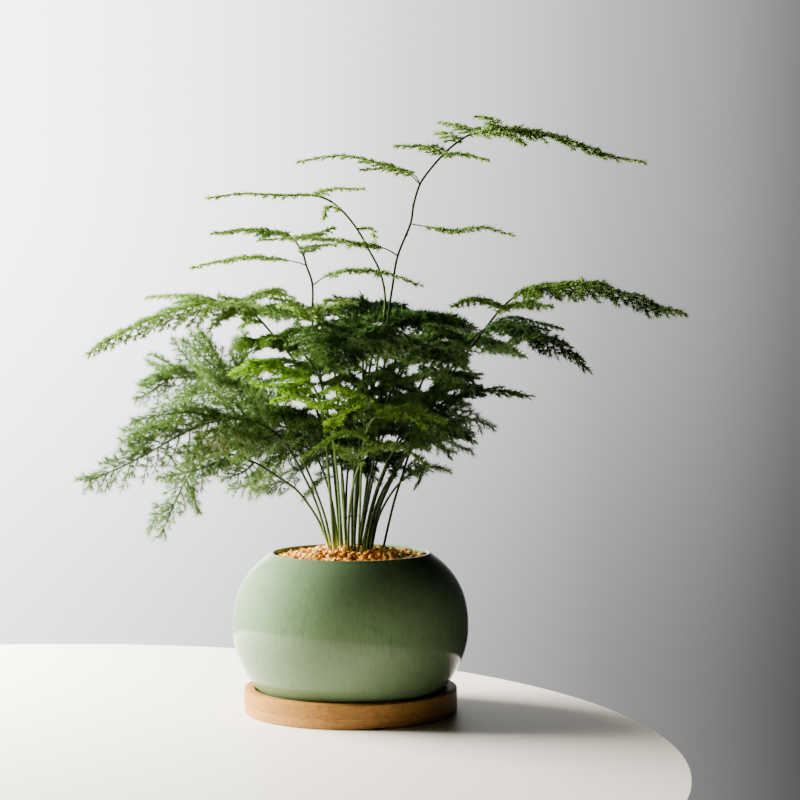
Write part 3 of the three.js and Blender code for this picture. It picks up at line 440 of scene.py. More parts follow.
        twig(2, 15, -6, [(36, 196, 52), (50, 200, 58), (64, 198, 64)]),
    ]),
    cane("middle_left", "mature", foot=(-5.5, -3), leafy=4, reach=24, roll=8,
         look="fresh", shoots=(10, 176), route=[
        (-7, 130, -4), (-10, 160, -6), (-14, 188, -9), (-20, 212, -13), (-29, 226, -20), (-41, 233, -29),
        (-55, 234, -39), (-69, 230, -49),
    ]),
    cane("middle_low", "airy", foot=(-8, 4.8), leafy=2, reach=20, roll=30,
         look="dusky", shoots=(6, 150), route=[
        (-11, 128, 8), (-16, 148, 14), (-23, 164, 22), (-33, 176, 32), (-48, 182, 44), (-64, 181, 56),
        (-80, 174, 66),
    ], fine=[
        twig(3, 16, 30, [(-38, 164, 28), (-52, 156, 34), (-66, 148, 40)]),
        twig(2, 14, 20, [(-22, 160, 26), (-32, 155, 34), (-44, 150, 42)]),
        twig(3, 12, 40, [(-36, 168, 14), (-46, 162, 6), (-56, 156, 0)]),
        twig(4, 14, 30, [(-58, 172, 44), (-70, 163, 48), (-82, 157, 52)]),
        twig(1, 10, 40, [(-20, 147, 20), (-25, 141, 26), (-30, 136, 30)]),
        twig(4, 13, 10, [(-54, 166, 30), (-70, 160, 20), (-86, 156, 12)]),
    ]),
    cane("inner_right", "airy", foot=(10.5, 0.8), leafy=3, reach=22, roll=-20,
         style="inner", look="deep", shoots=(3, 148), route=[
        (13, 124, 1), (18, 142, 2), (24, 158, 2), (33, 170, 3), (46, 178, 3), (61, 180, 2), (77, 176, 0),
    ]),
    cane("front_low", "young", foot=(-1.5, -9.5), leafy=3, reach=13, roll=0,
         look="fresh", shoots=(2, 155), route=[
        (-1, 122, -16), (1, 140, -26), (5, 155, -38), (11, 165, -52), (19, 169, -68), (29, 166, -84),
    ], twigs=[
        twig(2, 9, 0, [(-2, 165, -50), (-10, 168, -62)]),
    ]),
    cane("front_gold", "young", foot=(5, -13), leafy=3, reach=11, roll=-20,
         look="fresh", shoots=(1, 172), route=[
        (6, 130, -23), (7, 155, -34), (10, 177, -47), (18, 188, -62), (36, 190, -78), (60, 184, -94),
    ], twigs=[
        twig(2, 7, 0, [(8, 192, -56), (12, 198, -66)]),
    ]),
    cane("right_deep", "mature", foot=(12.6, -7.2), leafy=3, reach=22, roll=-4,
         look="deep", shoots=(3, 166), route=[
        (16.5, 124, -7.5), (23.5, 143, -8.5), (33, 163, -9.5), (43, 184, -10), (50, 199, -11),
        (58, 208, -12), (68, 212, -13), (81, 212, -14),
    ], twigs=[
        twig(4, 10, -6, [(62, 206, -28), (83, 207, -42)]),
    ]),
    cane("inner_left", "airy", foot=(-3, 1.5), leafy=2, reach=20, roll=20,
         style="inner", look="mature", shoots=(8, 150), route=[
        (-4, 128, 3), (-5, 148, 6), (-8, 164, 8), (-15, 177, 9), (-28, 186, 8), (-44, 189, 5),
        (-60, 186, 1),
    ], twigs=[
        twig(2, 12, 20, [(-15, 170, 0), (-26, 172, -4), (-37, 168, -8)]),
    ]),
    cane("inner_front", "airy", foot=(1, -3.5), leafy=2, reach=18, roll=-20,
         style="inner", look="deep", shoots=(7, 150), route=[
        (1, 128, -8), (2, 148, -13), (4, 166, -19), (9, 180, -26), (20, 188, -34), (35, 191, -42),
    ], twigs=[
        twig(2, 10, 20, [(-4, 170, -26), (-13, 173, -27), (-24, 171, -27)]),
    ]),
    cane("inner_back", "airy", foot=(-3.2, 6), leafy=2, reach=22, roll=-10,
         style="inner", look="deep", shoots=(7, 152), route=[
        (-3, 128, 10), (-2, 150, 16), (1, 170, 23), (8, 184, 31), (20, 192, 40), (35, 194, 50),
    ], twigs=[
        twig(2, 14, 10, [(-10, 182, 34), (-24, 186, 46), (-38, 184, 56)]),
    ]),
    cane("low_right", "airy", foot=(13.4, -1.4), leafy=2, reach=7, roll=-10, route=[
        (17.5, 122, -3), (24.5, 136, -5), (33.5, 147, -6), (44, 153, -4), (54, 155, 0), (63, 152, 4),
    ]),
    cane("centre_high", "mature", foot=(2, 1), leafy=4, reach=30, roll=0,
         style="inner", shoots=(9, 184), route=[
        (4, 130, 1), (7, 165, 3), (10, 200, 6), (14, 226, 10), (22, 243, 14), (35, 250.5, 18),
        (51, 250, 22), (67, 245, 26),
    ], twigs=[
        twig(3, 14, 0, [(12, 240, 24), (2, 250, 36), (-10, 256, 46)]),
    ], fine=[
        twig(2, 14, 0, [(20, 214, -4), (32, 221, -10), (46, 223, -16)]),
        twig(2, 13, 0, [(0, 212, 10), (-14, 218, 16), (-28, 219, 22)]),
        twig(2, 12, 0, [(2, 202, -6), (-12, 208, -12), (-26, 207, -18)]),
        twig(1, 12, 0, [(18, 186, 10), (32, 198, 16), (46, 202, 20), (60, 200, 24)]),
    ]),
]


def unit(vectors):
    return vectors / np.maximum(np.linalg.norm(vectors, axis=-1, keepdims=True), 1e-9)


def dot(a, b):
    return np.sum(a * b, axis=-1, keepdims=True)


def smoothstep(values, low, high):
    share = np.clip((values - low) / (high - low), 0, 1)
    return share * share * (3 - 2 * share)


def mixed(a, b, share):
    return a + (b - a) * share


def by_turns(numbers):
    """1 for even numbers and -1 for odd ones."""
    return np.where(numbers % 2 == 0, 1.0, -1.0)


def turned_from(forward, sideways, angle):
    """Directions turned from forward towards sideways by an angle each."""
    return forward * np.cos(angle)[:, None] + sideways * np.sin(angle)[:, None]


class Build:
    """Points, faces and tints gathered for one mesh. A face list holds rows of corner numbers."""

    def __init__(self):
        self.points, self.tints, self.faces, self.count = [], [], [], 0

    def add(self, points, tints, *faces, slot=0, smooth=True):
        """Adds points with a colour each, and any number of face lists that use them."""
        for rows in faces:
            self.faces.append((rows + self.count, slot, smooth))
        self.points.append(points)
        self.tints.append(np.broadcast_to(tints, points.shape))
        self.count += len(points)

    def mesh(self, name):
        points = np.concatenate(self.points) * MM
        tints = np.concatenate(self.tints)
        sizes = np.concatenate([np.full(len(rows), rows.shape[1]) for rows, _, _ in self.faces])
        slots = np.concatenate([np.full(len(rows), slot) for rows, slot, _ in self.faces])
        smooth = np.concatenate([np.full(len(rows), smooth) for rows, _, smooth in self.faces])
        corners = np.concatenate([rows.ravel() for rows, _, _ in self.faces])
        mesh = bpy.data.meshes.new(name)
        mesh.vertices.add(len(points))
        mesh.vertices.foreach_set("co", points.astype(np.float32).ravel())
        mesh.loops.add(len(corners))
        mesh.loops.foreach_set("vertex_index", corners.astype(np.int32))
        mesh.polygons.add(len(sizes))
        mesh.polygons.foreach_set("loop_start", (np.cumsum(sizes) - sizes).astype(np.int32))
        mesh.polygons.foreach_set("material_index", slots.astype(np.int32))
        mesh.polygons.foreach_set("use_smooth", smooth.astype(bool))
        mesh.update(calc_edges=True)
        tint = mesh.color_attributes.new("tint", "FLOAT_COLOR", "POINT")
        rgba = np.concatenate([tints, np.ones((len(tints), 1))], axis=1)
        tint.data.foreach_set("color", rgba.astype(np.float32).ravel())
        return mesh


def placed(name, data):
    """A new object of the scene."""
    made = bpy.data.objects.new(name, data)
    bpy.context.scene.collection.objects.link(made)
    return made


def piece(name, build, materials, node):
    """A piece of the visual model: it rides on the body and stands for a CAD node."""
    made = placed(name, build.mesh(name))
    for material in materials:
        made.data.materials.append(material)
    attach(made, BODY)
    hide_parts(node)


class Curve:
    """A smooth curve through points, read at shares of its run from 0 to 1."""

    def __init__(self, points):
        points = np.array(points, float)
        self.spans = len(points) - 1
        self.points = np.vstack([2 * points[0] - points[1], points, 2 * points[-1] - points[-2]])
        marks = self.at(np.linspace(0, 1, 201))
        self.length = np.sum(np.linalg.norm(np.diff(marks, axis=0), axis=1))

    def at(self, t):
        run = np.clip(np.asarray(t, float), 0, 1) * self.spans
        start = np.minimum(run.astype(int), self.spans - 1)
        w = (run - start)[..., None]
        a, b, c, d = (self.points[start + k] for k in range(4))
        bend = (2 * a - 5 * b + 4 * c - d) * w**2 + (3 * b - 3 * c + d - a) * w**3
        return b + ((c - a) * w + bend) / 2

    def ahead(self, t):
        nudge = 1e-3
        t = np.asarray(t, float)
        return unit(self.at(t + nudge) - self.at(t - nudge))

    def after(self, distances):
        """The shares of the run at which the curve has come these distances."""
        fine = np.linspace(0, 1, 801)
        steps = np.linalg.norm(np.diff(self.at(fine), axis=0), axis=1)
        return np.interp(distances, np.concatenate([[0], np.cumsum(steps)]), fine)


def seen(point):
    """The real place of a point read on the upright plane through the axis."""
    across, up, depth = point
    share = 1 + depth / VIEW_DISTANCE
    return (across * share, depth, VIEW_HEIGHT + (up - VIEW_HEIGHT) * share)


def foliage_frame(curve, t, roll):
    """The way ahead and the side and upper directions of flat foliage on a curve, leant by roll degrees."""
    along = curve.ahead(t)
    level = unit(np.cross(along, UP))
    steep = np.cross(level, along)
    lean = math.radians(roll)
    side = level * math.cos(lean) + steep * math.sin(lean)
    return along, side, np.cross(side, along)


def helper_for(ahead):
    """A direction well away from each way ahead."""
    return np.where(np.abs(ahead[:, 2:]) > 0.9, [[1.0, 0.0, 0.0]], [UP])


def walls_of(corner):
    """The four-cornered faces between rings of corners, which are the last two axes of an array."""
    here, further = corner[..., :-1, :], corner[..., 1:, :]
    return np.stack([here, np.roll(here, -1, -1), np.roll(further, -1, -1), further], axis=-1).reshape(-1, 4)


def tubes(build, paths, radii, sides, tints):
    """Closed tubes along paths, an array of (tube, point, 3), with a radius and a tint for each point."""
    count, rings, _ = paths.shape
    ahead = unit(np.gradient(paths, axis=1))
    side = unit(np.cross(ahead[:, 0], helper_for(ahead[:, 0])))
    sideways = [side]
    for k in range(1, rings):
        side = unit(side - ahead[:, k] * dot(side, ahead[:, k]))
        sideways.append(side)
    across = np.stack(sideways, axis=1)[:, :, None]
    other = np.cross(ahead, across[:, :, 0])[:, :, None]
    turn = (2 * math.pi * np.arange(sides) / sides)[:, None]
    radii = np.broadcast_to(radii, (count, rings))[:, :, None, None]
    points = paths[:, :, None] + radii * (across * np.cos(turn) + other * np.sin(turn))
    tints = np.broadcast_to(np.asarray(tints, float)[..., None, :], points.shape)
    corner = np.arange(count * rings * sides).reshape(count, rings, sides)
    build.add(
        points.reshape(-1, 3), tints.reshape(-1, 3), walls_of(corner), corner[:, 0, ::-1], corner[:, -1],
    )


def needles(build, roots, ends, width, tints, slot=1):
    """Three-sided needles, open at the foot, which is sunk in what they grow from."""
    ahead = unit(ends - roots)
    across = unit(np.cross(ahead, helper_for(ahead)))
    other = np.cross(ahead, across)
    feet = [
        roots + width / 2 * (across * math.cos(turn) + other * math.sin(turn))
        for turn in (math.pi / 2, math.pi * 7 / 6, math.pi * 11 / 6)
    ]
    points = np.stack([*feet, ends], axis=1)
    first = 4 * np.arange(len(roots))[:, None]
    faces = np.concatenate([first + row for row in ([0, 1, 3], [1, 2, 3], [2, 0, 3])])
    build.add(points.reshape(-1, 3), np.repeat(tints, 4, axis=0), faces, slot=slot, smooth=False)


def branch_share(u, tip):
    """How long side branches are along a spray, from 0 at its foot to 1 at its tip."""
    return np.minimum(0.55 + 1.8 * u, (1.23 - tip) * (1 - u) + tip)


def branch_angle(u):
    """How far side branches stand off a spray's spine, wide at its foot and narrow at its tip."""
    return np.radians(60 - 24 * u)


def bowed(start, bend, end, s):
    """A point and the way ahead on an arc from start to end that is drawn towards bend."""
    s = np.broadcast_to(s, len(start))[:, None]
    point = start * (1 - s) ** 2 + bend * 2 * s * (1 - s) + end * s**2
    return point, unit((bend - start) * (1 - s) + (end - bend) * s)


def spread(counts):
    """For each of the items that counts numbers: its owner, its number there and its share of the way."""
    owner = np.repeat(np.arange(len(counts)), counts)
    first = np.repeat(np.cumsum(counts) - counts, counts)
    number = np.arange(len(owner)) - first
    return owner, number, (number + 0.5) / counts[owner]


class Tufts:
    """Places where needles grow: a point, the way ahead, the flat's upper direction and a tint. Needles are
    longer and stand further off where vigour is 1 than where it is 0."""

    def __init__(self):
        self.parts = []

    def add(self, point, ahead, upper, tint, vigour=1.0):
        self.parts.append((point, ahead, upper, tint, np.broadcast_to(vigour, len(point))))

    def grow(self, build, style, rng):
        point, ahead, upper, tint, vigour = (np.concatenate(column) for column in zip(*self.parts))
        number = len(point)
        for k in range(style["tuft"]):
            flat = unit(np.cross(upper, ahead))
            hand = by_turns(np.arange(number) + k)[:, None]
            stray = np.radians(rng.normal(0, style["flatness"], number))
            out = unit(turned_from(flat * hand, upper, stray))
            angle = np.radians(rng.uniform(*style["angle"], number)) * mixed(0.5, 1.0, vigour)
            length = rng.uniform(*style["needle"], number) * mixed(0.8, 1.0, vigour)
            colour = tint * rng.uniform(0.72, 1.28, (number, 1)) * rng.uniform(0.9, 1.1, (number, 3))
            slip = rng.uniform(-0.4, 0.4, number) * style["gap"]
            root = point + ahead * slip[:, None]
            end = root + turned_from(ahead, out, angle) * length[:, None]
            needles(build, root, end, style["width"], colour)


def spine_tufts(tufts, curve, start, roll, gap, green):
    """Needle tufts along a spray's own spine."""
    run = curve.length * (1 - start)
    share = (np.arange(int(run / gap)) + 0.5) * gap / run
    t = start + (1 - start) * share
    along, _, upper = foliage_frame(curve, t, roll)
    tufts.add(curve.at(t), along, upper, green(share))


def spray(build, tufts, curve, start, reach, roll, style, greens, rng):
    """The side branches of a spray, by turns to the right and left, with their forks and needle tufts."""
    foot_green, tip_green = (np.array(colour) for colour in greens)

    def green(share):
        return mixed(foot_green, tip_green, share[:, None])

    spine_tufts(tufts, curve, start, roll, style["spine"], green)
    count = max(4, round(curve.length * (1 - start) / style["pitch"]))
    u = (np.arange(count) + 0.5) / count
    t = start + (1 - start) * u
    root = curve.at(t)
    along, side, upper = foliage_frame(curve, t, roll)
    out = side * by_turns(np.arange(count))[:, None]
    length = reach * branch_share(u, style["tip"]) * rng.uniform(0.8, 1.04, count)
    angle = branch_angle(u) + np.radians(rng.normal(0, 4, count))
    size = length[:, None]
    back, lift = BRANCH_BOW
    rise = style["ruffle"] * rng.uniform(-1, 1, count)[:, None]
    tip = root + (turned_from(along, out, angle) + upper * rise - UP * style["droop"]) * size
    bend = (root + tip) / 2 + (turned_from(out, -along, angle) * back + UP * lift) * size

    path = np.stack([bowed(root, bend, tip, s)[0] for s in (0.0, 0.5, 1.0)], axis=1)
    thick = np.stack([plain + share * length for plain, share in BRANCH_RADII], axis=1)
    tubes(build, path, thick, 3, np.repeat(green(u)[:, None] * WOOD_SHADE, 3, axis=1))

    owner, _, s = spread(np.maximum(2, np.round(length / style["gap"]).astype(int)))
    s = 0.05 + 0.93 * s
    point, ahead = bowed(root[owner], bend[owner], tip[owner], s)
    tufts.add(point, ahead, upper[owner], green(0.6 * u[owner] + 0.4 * s))
    point, ahead = bowed(root, bend, tip, 0.98)
    tufts.add(point, ahead, upper, green(0.5 + 0.5 * u), vigour=0.35)

    forks = np.where(length > SHORTEST_FORKED, np.round(length * 0.85 / style["fork"]), 0).astype(int)
    owner, number, s = spread(forks)
    if len(owner) == 0:
        return
    s = 0.08 + 0.85 * s
    point, ahead = bowed(root[owner], bend[owner], tip[owner], s)
    flat = unit(np.cross(upper[owner], ahead))
    stray = np.radians(rng.normal(0, style["flatness"] * 0.5, len(owner)))
    out = turned_from(flat * by_turns(number)[:, None], upper[owner], stray)
    way = turned_from(ahead, out, np.radians(rng.uniform(*FORK_ANGLES, len(owner))))
    longest = np.minimum(LONGEST_FORK, style["split"] * (1 - s) * length[owner] + 1.2)
    fork = longest * rng.uniform(0.75, 1.1, len(owner))
    end = point + way * fork[:, None]
    shade = green(0.5 * u[owner] + 0.5 * s)
    needles(build, point, end, FORK_WIDTH, shade * WOOD_SHADE, slot=0)
    parent, _, share = spread(np.maximum(1, np.round(fork / style["gap"]).astype(int)))
    share = 0.3 + 0.7 * share
    place = point[parent] + (end - point)[parent] * share[:, None]
    tufts.add(place, way[parent], upper[owner][parent], shade[parent], vigour=mixed(1.0, 0.6, share))


def bark_tint(heights, leafiness, paleness, skin):
    """A cane's colour: pale yellow where it leaves the gravel, then green, then dark, and green again."""
    green, dark = (
        smoothstep(heights[:, None], *(plain + added * paleness for plain, added in ends))
        for ends in (GREEN_BARK, DARK_BARK)
    )
    colour = mixed(mixed(BARK_PALE, BARK_GREEN, green), skin, dark)
    return mixed(colour, BARK_LEAFY, leafiness[:, None])


def wood(build, entry, curve, start, rng):
    """The cane itself, tapering from its socket to its tip, with a slight swelling and a bract at each
    joint. The canes on the left are palest at the foot."""
    joints = np.cumsum(rng.uniform(*JOINT_GAPS, int(curve.length / 10)))
    joints = joints[joints < curve.length - 3]
    steps = np.arange(0, curve.length, CANE_STEP)
    marks = np.concatenate([steps, joints, joints - JOINT_REACH, joints + JOINT_REACH, [curve.length]])
    marks = np.unique(np.clip(marks, 0, curve.length))
    leafy = start * curve.length
    paleness = 0.95 - 0.85 * smoothstep(entry["foot"][0], -7, 7) + rng.uniform(-0.35, 0.35)
    paleness = min(max(paleness, 0), 1)
    low, middle, high = CANE_RADII
    radii = mixed(low + PALE_THICKENING * paleness, low, smoothstep(marks, 0, FOOT_LENGTH))
    radii = mixed(radii, middle, smoothstep(marks, FOOT_LENGTH, leafy))
    radii = mixed(radii, high, np.clip((marks - leafy) / (curve.length - leafy), 0, 1))
    near = np.min(np.abs(marks[:, None] - joints[None]), axis=1)
    radii = radii * (1 + JOINT_SWELLING * (near < 0.1))
    path = np.vstack([(*entry["foot"], SOCKET_BOTTOM), curve.at(curve.after(marks))])
    leafiness = smoothstep(np.concatenate([[0], marks]), *(leafy + np.array(LEAFY_BARK)))
    skin = BARK_YOUNG if entry["tone"] == "young" else BARK_DARK
    tints = bark_tint(path[:, 2], leafiness, paleness, skin)
    tubes(build, path[None], np.concatenate([radii[:1], radii]), 8, tints[None])
    bracts(build, curve, joints, np.interp(joints, marks, radii)[:, None], rng)


def bracts(build, curve, joints, radius, rng):
    """A small dry scale at each joint, turned on from joint to joint."""
    t = curve.after(joints)
    ahead = curve.ahead(t)
    level = unit(np.cross(ahead, UP + 0.01))
    out = turned_from(level, np.cross(level, ahead), np.arange(len(joints)) * GOLDEN_ANGLE)
    root = curve.at(t) + out * radius * 0.5
    end = root + ahead * BRACT_LENGTH + out * BRACT_STAND
    tints = BRACT * rng.uniform(0.5, 1.3, (len(root), 1))
    needles(build, root, end, BRACT_WIDTH, tints, slot=0)


def twig_wood(build, curve):
    t = np.linspace(0, 1, max(4, round(curve.length / 4)))
    tints = mixed(BARK_DARK, BARK_LEAFY, smoothstep(t, 0, 0.4)[:, None])
    tubes(build, curve.at(t)[None], mixed(*TWIG_RADII, t), 6, tints[None])


def dried(tufts, rng):
    """Turns some of the tufts near one spot of the cloud to the colour of dry needles."""
    parts = []
    for point, ahead, upper, tint, vigour in tufts.parts:
        far = np.linalg.norm((point - DRY_SPOT) * DRY_STRETCH, axis=1) / DRY_SIZE
        dry = rng.uniform(0, 1, len(point)) < DRY_SHARE * np.exp(-(far**2))
        parts.append((point, ahead, upper, np.where(dry[:, None], STRAW, tint), vigour))
    tufts.parts = parts


def side_shoots(entry, curve, rng):
    """Arched side shoots from the upper part of a cane, by turns to the right and the left, or in the airy
    cloud on the left all outwards."""
    number, lowest = entry["shoots"]
    outwards = entry["name"] in CLOUD
    fine = np.linspace(0, 1, 401)
    first = fine[np.argmax(curve.at(fine)[:, 2] > lowest)]
    shoots = []
    for k in range(number):
        root = curve.at(mixed(first, LAST_SHOOT, (k + rng.uniform(0.2, 0.8)) / number))
        bearing = math.radians(180 * (outwards or k % 2) + rng.normal(0, SHOOT_SPREAD))
        out = np.array([math.cos(bearing), math.sin(bearing), 0.0])
        limit = CLOUD_LIMIT if outwards else SHOOT_LIMITS[int(out[0] > 0)]
        room = (limit - root[0]) / out[0]
        length = min(rng.uniform(*SHOOT_LENGTH), room)
        if length < SHORTEST_SHOOT:
            continue
        middle = root + (out * 0.5 + UP * SHOOT_ARCH) * length
        middle[2] = min(middle[2], max(root[2], SHOOT_CEILINGS[int(middle[0] > CEILING_LINE)]))
        slope = rng.uniform(-0.5, 0.4) if outwards else rng.uniform(-0.22, 0.04)
        shoots.append(Curve([root, middle, root + (out + UP * slope) * length]))
    return shoots


def frond(number, entry, materials):
    """A cane with its twigs, side branches, forks and needles, in place of its solid."""
    rng = np.random.default_rng(FIRST_SEED + number)
    name, tone, route = entry["name"], entry["tone"], entry["route"]
    looks = (STYLES[entry["style"]], GREENS[entry["look"]], rng)
    build, tufts = Build(), Tufts()
    main = Curve([(*entry["foot"], CANE_FOOT_HEIGHT), *map(seen, route)])
    start = (entry["leafy"] + 1) / len(route)
    wood(build, entry, main, start, rng)
    spray(build, tufts, main, start, entry["reach"], entry["roll"], *looks)
    for shoot in entry["twigs"]:
        curve = Curve([seen(route[shoot["from"]]), *map(seen, shoot["route"])])
        twig_wood(build, curve)
        start = shoot["leafy"] / len(shoot["route"])
        spray(build, tufts, curve, start, shoot["reach"], shoot["roll"], *looks)
    for shoot in side_shoots(entry, main, rng):
        twig_wood(build, shoot)
        spray(build, tufts, shoot, 0, rng.uniform(*SHOOT_REACH), rng.uniform(*SHOOT_ROLL), *looks)
    if name in DRY_CANES:
        dried(tufts, rng)
    tufts.grow(build, STYLES[entry["style"]], rng)
    piece("frond_" + name, build, [materials["bark"], materials[tone]], "cane_" + name)


def turned(build, profile, tints):
    """A turned surface from a profile of (radius, height) rows that starts and ends on the axis."""
    profile = np.array(profile, float)
    turn = 2 * math.pi * np.arange(TURNED_SEGMENTS) / TURNED_SEGMENTS
    ring = np.stack([np.cos(turn), np.sin(turn)], axis=1)
    inner = profile[1:-1]
    points = np.concatenate([
        np.repeat(inner[:, :1], TURNED_SEGMENTS, axis=1)[..., None] * ring[None],
        np.repeat(inner[:, 1:], TURNED_SEGMENTS, axis=1)[..., None],
    ], axis=2).reshape(-1, 3)
    points = np.vstack([points, [0, 0, profile[0, 1]], [0, 0, profile[-1, 1]]])
    corner = np.arange(len(inner) * TURNED_SEGMENTS).reshape(len(inner), TURNED_SEGMENTS)
    low, high = corner[0], corner[-1]
    first, last = len(points) - 2, len(points) - 1
    bottom = np.stack([np.roll(low, -1), low, np.full(TURNED_SEGMENTS, first)], axis=1)
    top = np.stack([high, np.roll(high, -1), np.full(TURNED_SEGMENTS, last)], axis=1)
    build.add(points, tints, walls_of(corner), bottom, top)


def bowl_radius(height):
    rise = np.asarray(height, float) - BELLY_HEIGHT
    above = np.abs(np.maximum(rise, 0) / SHOULDER_RISE) ** SHOULDER_POWER
    below = np.abs(np.minimum(rise, 0) / LOWER_DROP) ** LOWER_POWER
    return BELLY_RADIUS * np.sqrt(np.maximum(0, 1 - above - below))


def cavity_profile(low, high, count):
    """The inside wall as (radius, height) rows: one wall thickness in from the outside, along its normal."""
    outside = np.linspace(FLOOR_TOP - WALL, RIM_HEIGHT + WALL, 400)
    slope = np.gradient(bowl_radius(outside), outside)
    length = np.hypot(1, slope)
    radius = bowl_radius(outside) - WALL / length
    height = outside + WALL * slope / length
    levels = np.linspace(low, high, count)
    return np.stack([np.interp(levels, height, radius), levels], axis=1)


def rounded(points, count):
    """A profile's points drawn through by one smooth curve."""
    flat = Curve([(r, 0, z) for r, z in points]).at(np.linspace(0, 1, count))
    return flat[:, [0, 2]]


def bowl(material):
    """The bowl, from the middle of its underside over the foot ring, wall and lip to its floor inside."""
    foot = float(bowl_radius(RECESS_FLOOR))
    outside = np.linspace(RECESS_FLOOR + 0.8, RIM_HEIGHT - LIP_DROP - 1, 40)
    lip = float(bowl_radius(RIM_HEIGHT - LIP_DROP))
    inside = cavity_profile(FLOOR_TOP + 2, RIM_HEIGHT - 3.6, 18)[::-1]
    underside = RECESS_FLOOR + FOOT_RING_DEPTH
    build = Build()
    turned(build, [
        (0, underside),
        (foot - FOOT_RING_WIDTH - FOOT_RING_DEPTH, underside),
        *rounded([(foot - FOOT_RING_WIDTH - 1, underside - 1), (foot - FOOT_RING_WIDTH, RECESS_FLOOR),
                  (foot - 1, RECESS_FLOOR), (foot - 0.1, RECESS_FLOOR + 0.3)], 10),
        *zip(bowl_radius(outside), outside),
        *rounded([(lip, RIM_HEIGHT - LIP_DROP), (lip - LIP_CREST_INSET, RIM_HEIGHT),
                  (lip - LIP_INNER_INSET, RIM_HEIGHT - LIP_INNER_DROP),
                  (inside[0][0] + 0.3, RIM_HEIGHT - 2.4)], 12),
        *inside,
        (inside[-1][0] - 6, FLOOR_TOP + 0.3),
        (inside[-1][0] - 12, FLOOR_TOP),
        (0, FLOOR_TOP),
    ], (0.28, 0.42, 0.24))
    piece("celadon_bowl", build, [material], "bowl")


def saucer(material):
    """The saucer, from the middle of its underside over its rim to the floor of its recess."""
    edge = SAUCER_RADIUS - SAUCER_EDGE
    build = Build()
    turned(build, [
        (0, 0),
        (edge - SAUCER_EDGE, 0),
        *rounded([(edge, 0), (SAUCER_RADIUS - 0.25, 0.4), (SAUCER_RADIUS, SAUCER_EDGE)], 5),
        (SAUCER_RADIUS, SAUCER_HEIGHT * 0.25),
        (SAUCER_RADIUS, SAUCER_HEIGHT * 0.75),
        *rounded([(SAUCER_RADIUS, SAUCER_HEIGHT - SAUCER_EDGE), (SAUCER_RADIUS - 0.25, SAUCER_HEIGHT - 0.4),
                  (edge, SAUCER_HEIGHT)], 5),
        *rounded([(RECESS_RADIUS + 0.6, SAUCER_HEIGHT), (RECESS_RADIUS + 0.1, SAUCER_HEIGHT - 0.3),
                  (RECESS_RADIUS, SAUCER_HEIGHT - 1)], 4),
        *rounded([(RECESS_RADIUS, RECESS_FLOOR + 1), (RECESS_RADIUS - 0.3, RECESS_FLOOR + 0.3),
                  (RECESS_RADIUS - 1, RECESS_FLOOR)], 4),
        (0, RECESS_FLOOR),
    ], (0.6, 0.36, 0.17))
    piece("bamboo_saucer", build, [material], "saucer")


def gravel_top(radius):
    return GRAVEL_EDGE_HEIGHT + GRAVEL_CROWN * (1 - smoothstep(radius, *GRAVEL_SHOULDER))


def turns(rng, count):
    """Random rotations, as 3 by 3 arrays."""
    w, x, y, z = unit(rng.normal(size=(count, 4))).T
    return np.moveaxis(np.array([
        [1 - 2 * (y * y + z * z), 2 * (x * y - z * w), 2 * (x * z + y * w)],
        [2 * (x * y + z * w), 1 - 2 * (x * x + z * z), 2 * (y * z - x * w)],
        [2 * (x * z - y * w), 2 * (y * z + x * w), 1 - 2 * (x * x + y * y)],
    ]), 2, 0)


def ball():
    """An icosphere's points and faces."""
    mesh = bmesh.new()
    bmesh.ops.create_icosphere(mesh, subdivisions=2, radius=1)
    mesh.verts.index_update()
    points = np.array([vert.co for vert in mesh.verts])
    faces = np.array([[vert.index for vert in face.verts] for face in mesh.faces])
    mesh.free()
    return points, faces


def grain_shapes(points, size, rng):
    """Balls with flats cut into them, flattened a little and turned at random."""
    cuts = unit(rng.normal(size=(GRAINS, GRAIN_FACETS, 3)))
    depth = rng.uniform(*FACET_DISTANCE, (GRAINS, GRAIN_FACETS))
    shape = np.repeat(points[None], GRAINS, axis=0)
    for k in range(GRAIN_FACETS):
        over = np.maximum(0, np.einsum("gpc,gc->gp", shape, cuts[:, k]) - depth[:, k, None])
        shape -= over[..., None] * cuts[:, k, None]
    widths = [np.ones(GRAINS), rng.uniform(0.75, 1, GRAINS), rng.uniform(0.6, 0.9, GRAINS)]
    shape *= size[:, None, None] * np.stack(widths, axis=1)[:, None]
    return np.einsum("gij,gpj->gpi", turns(rng, GRAINS), shape)


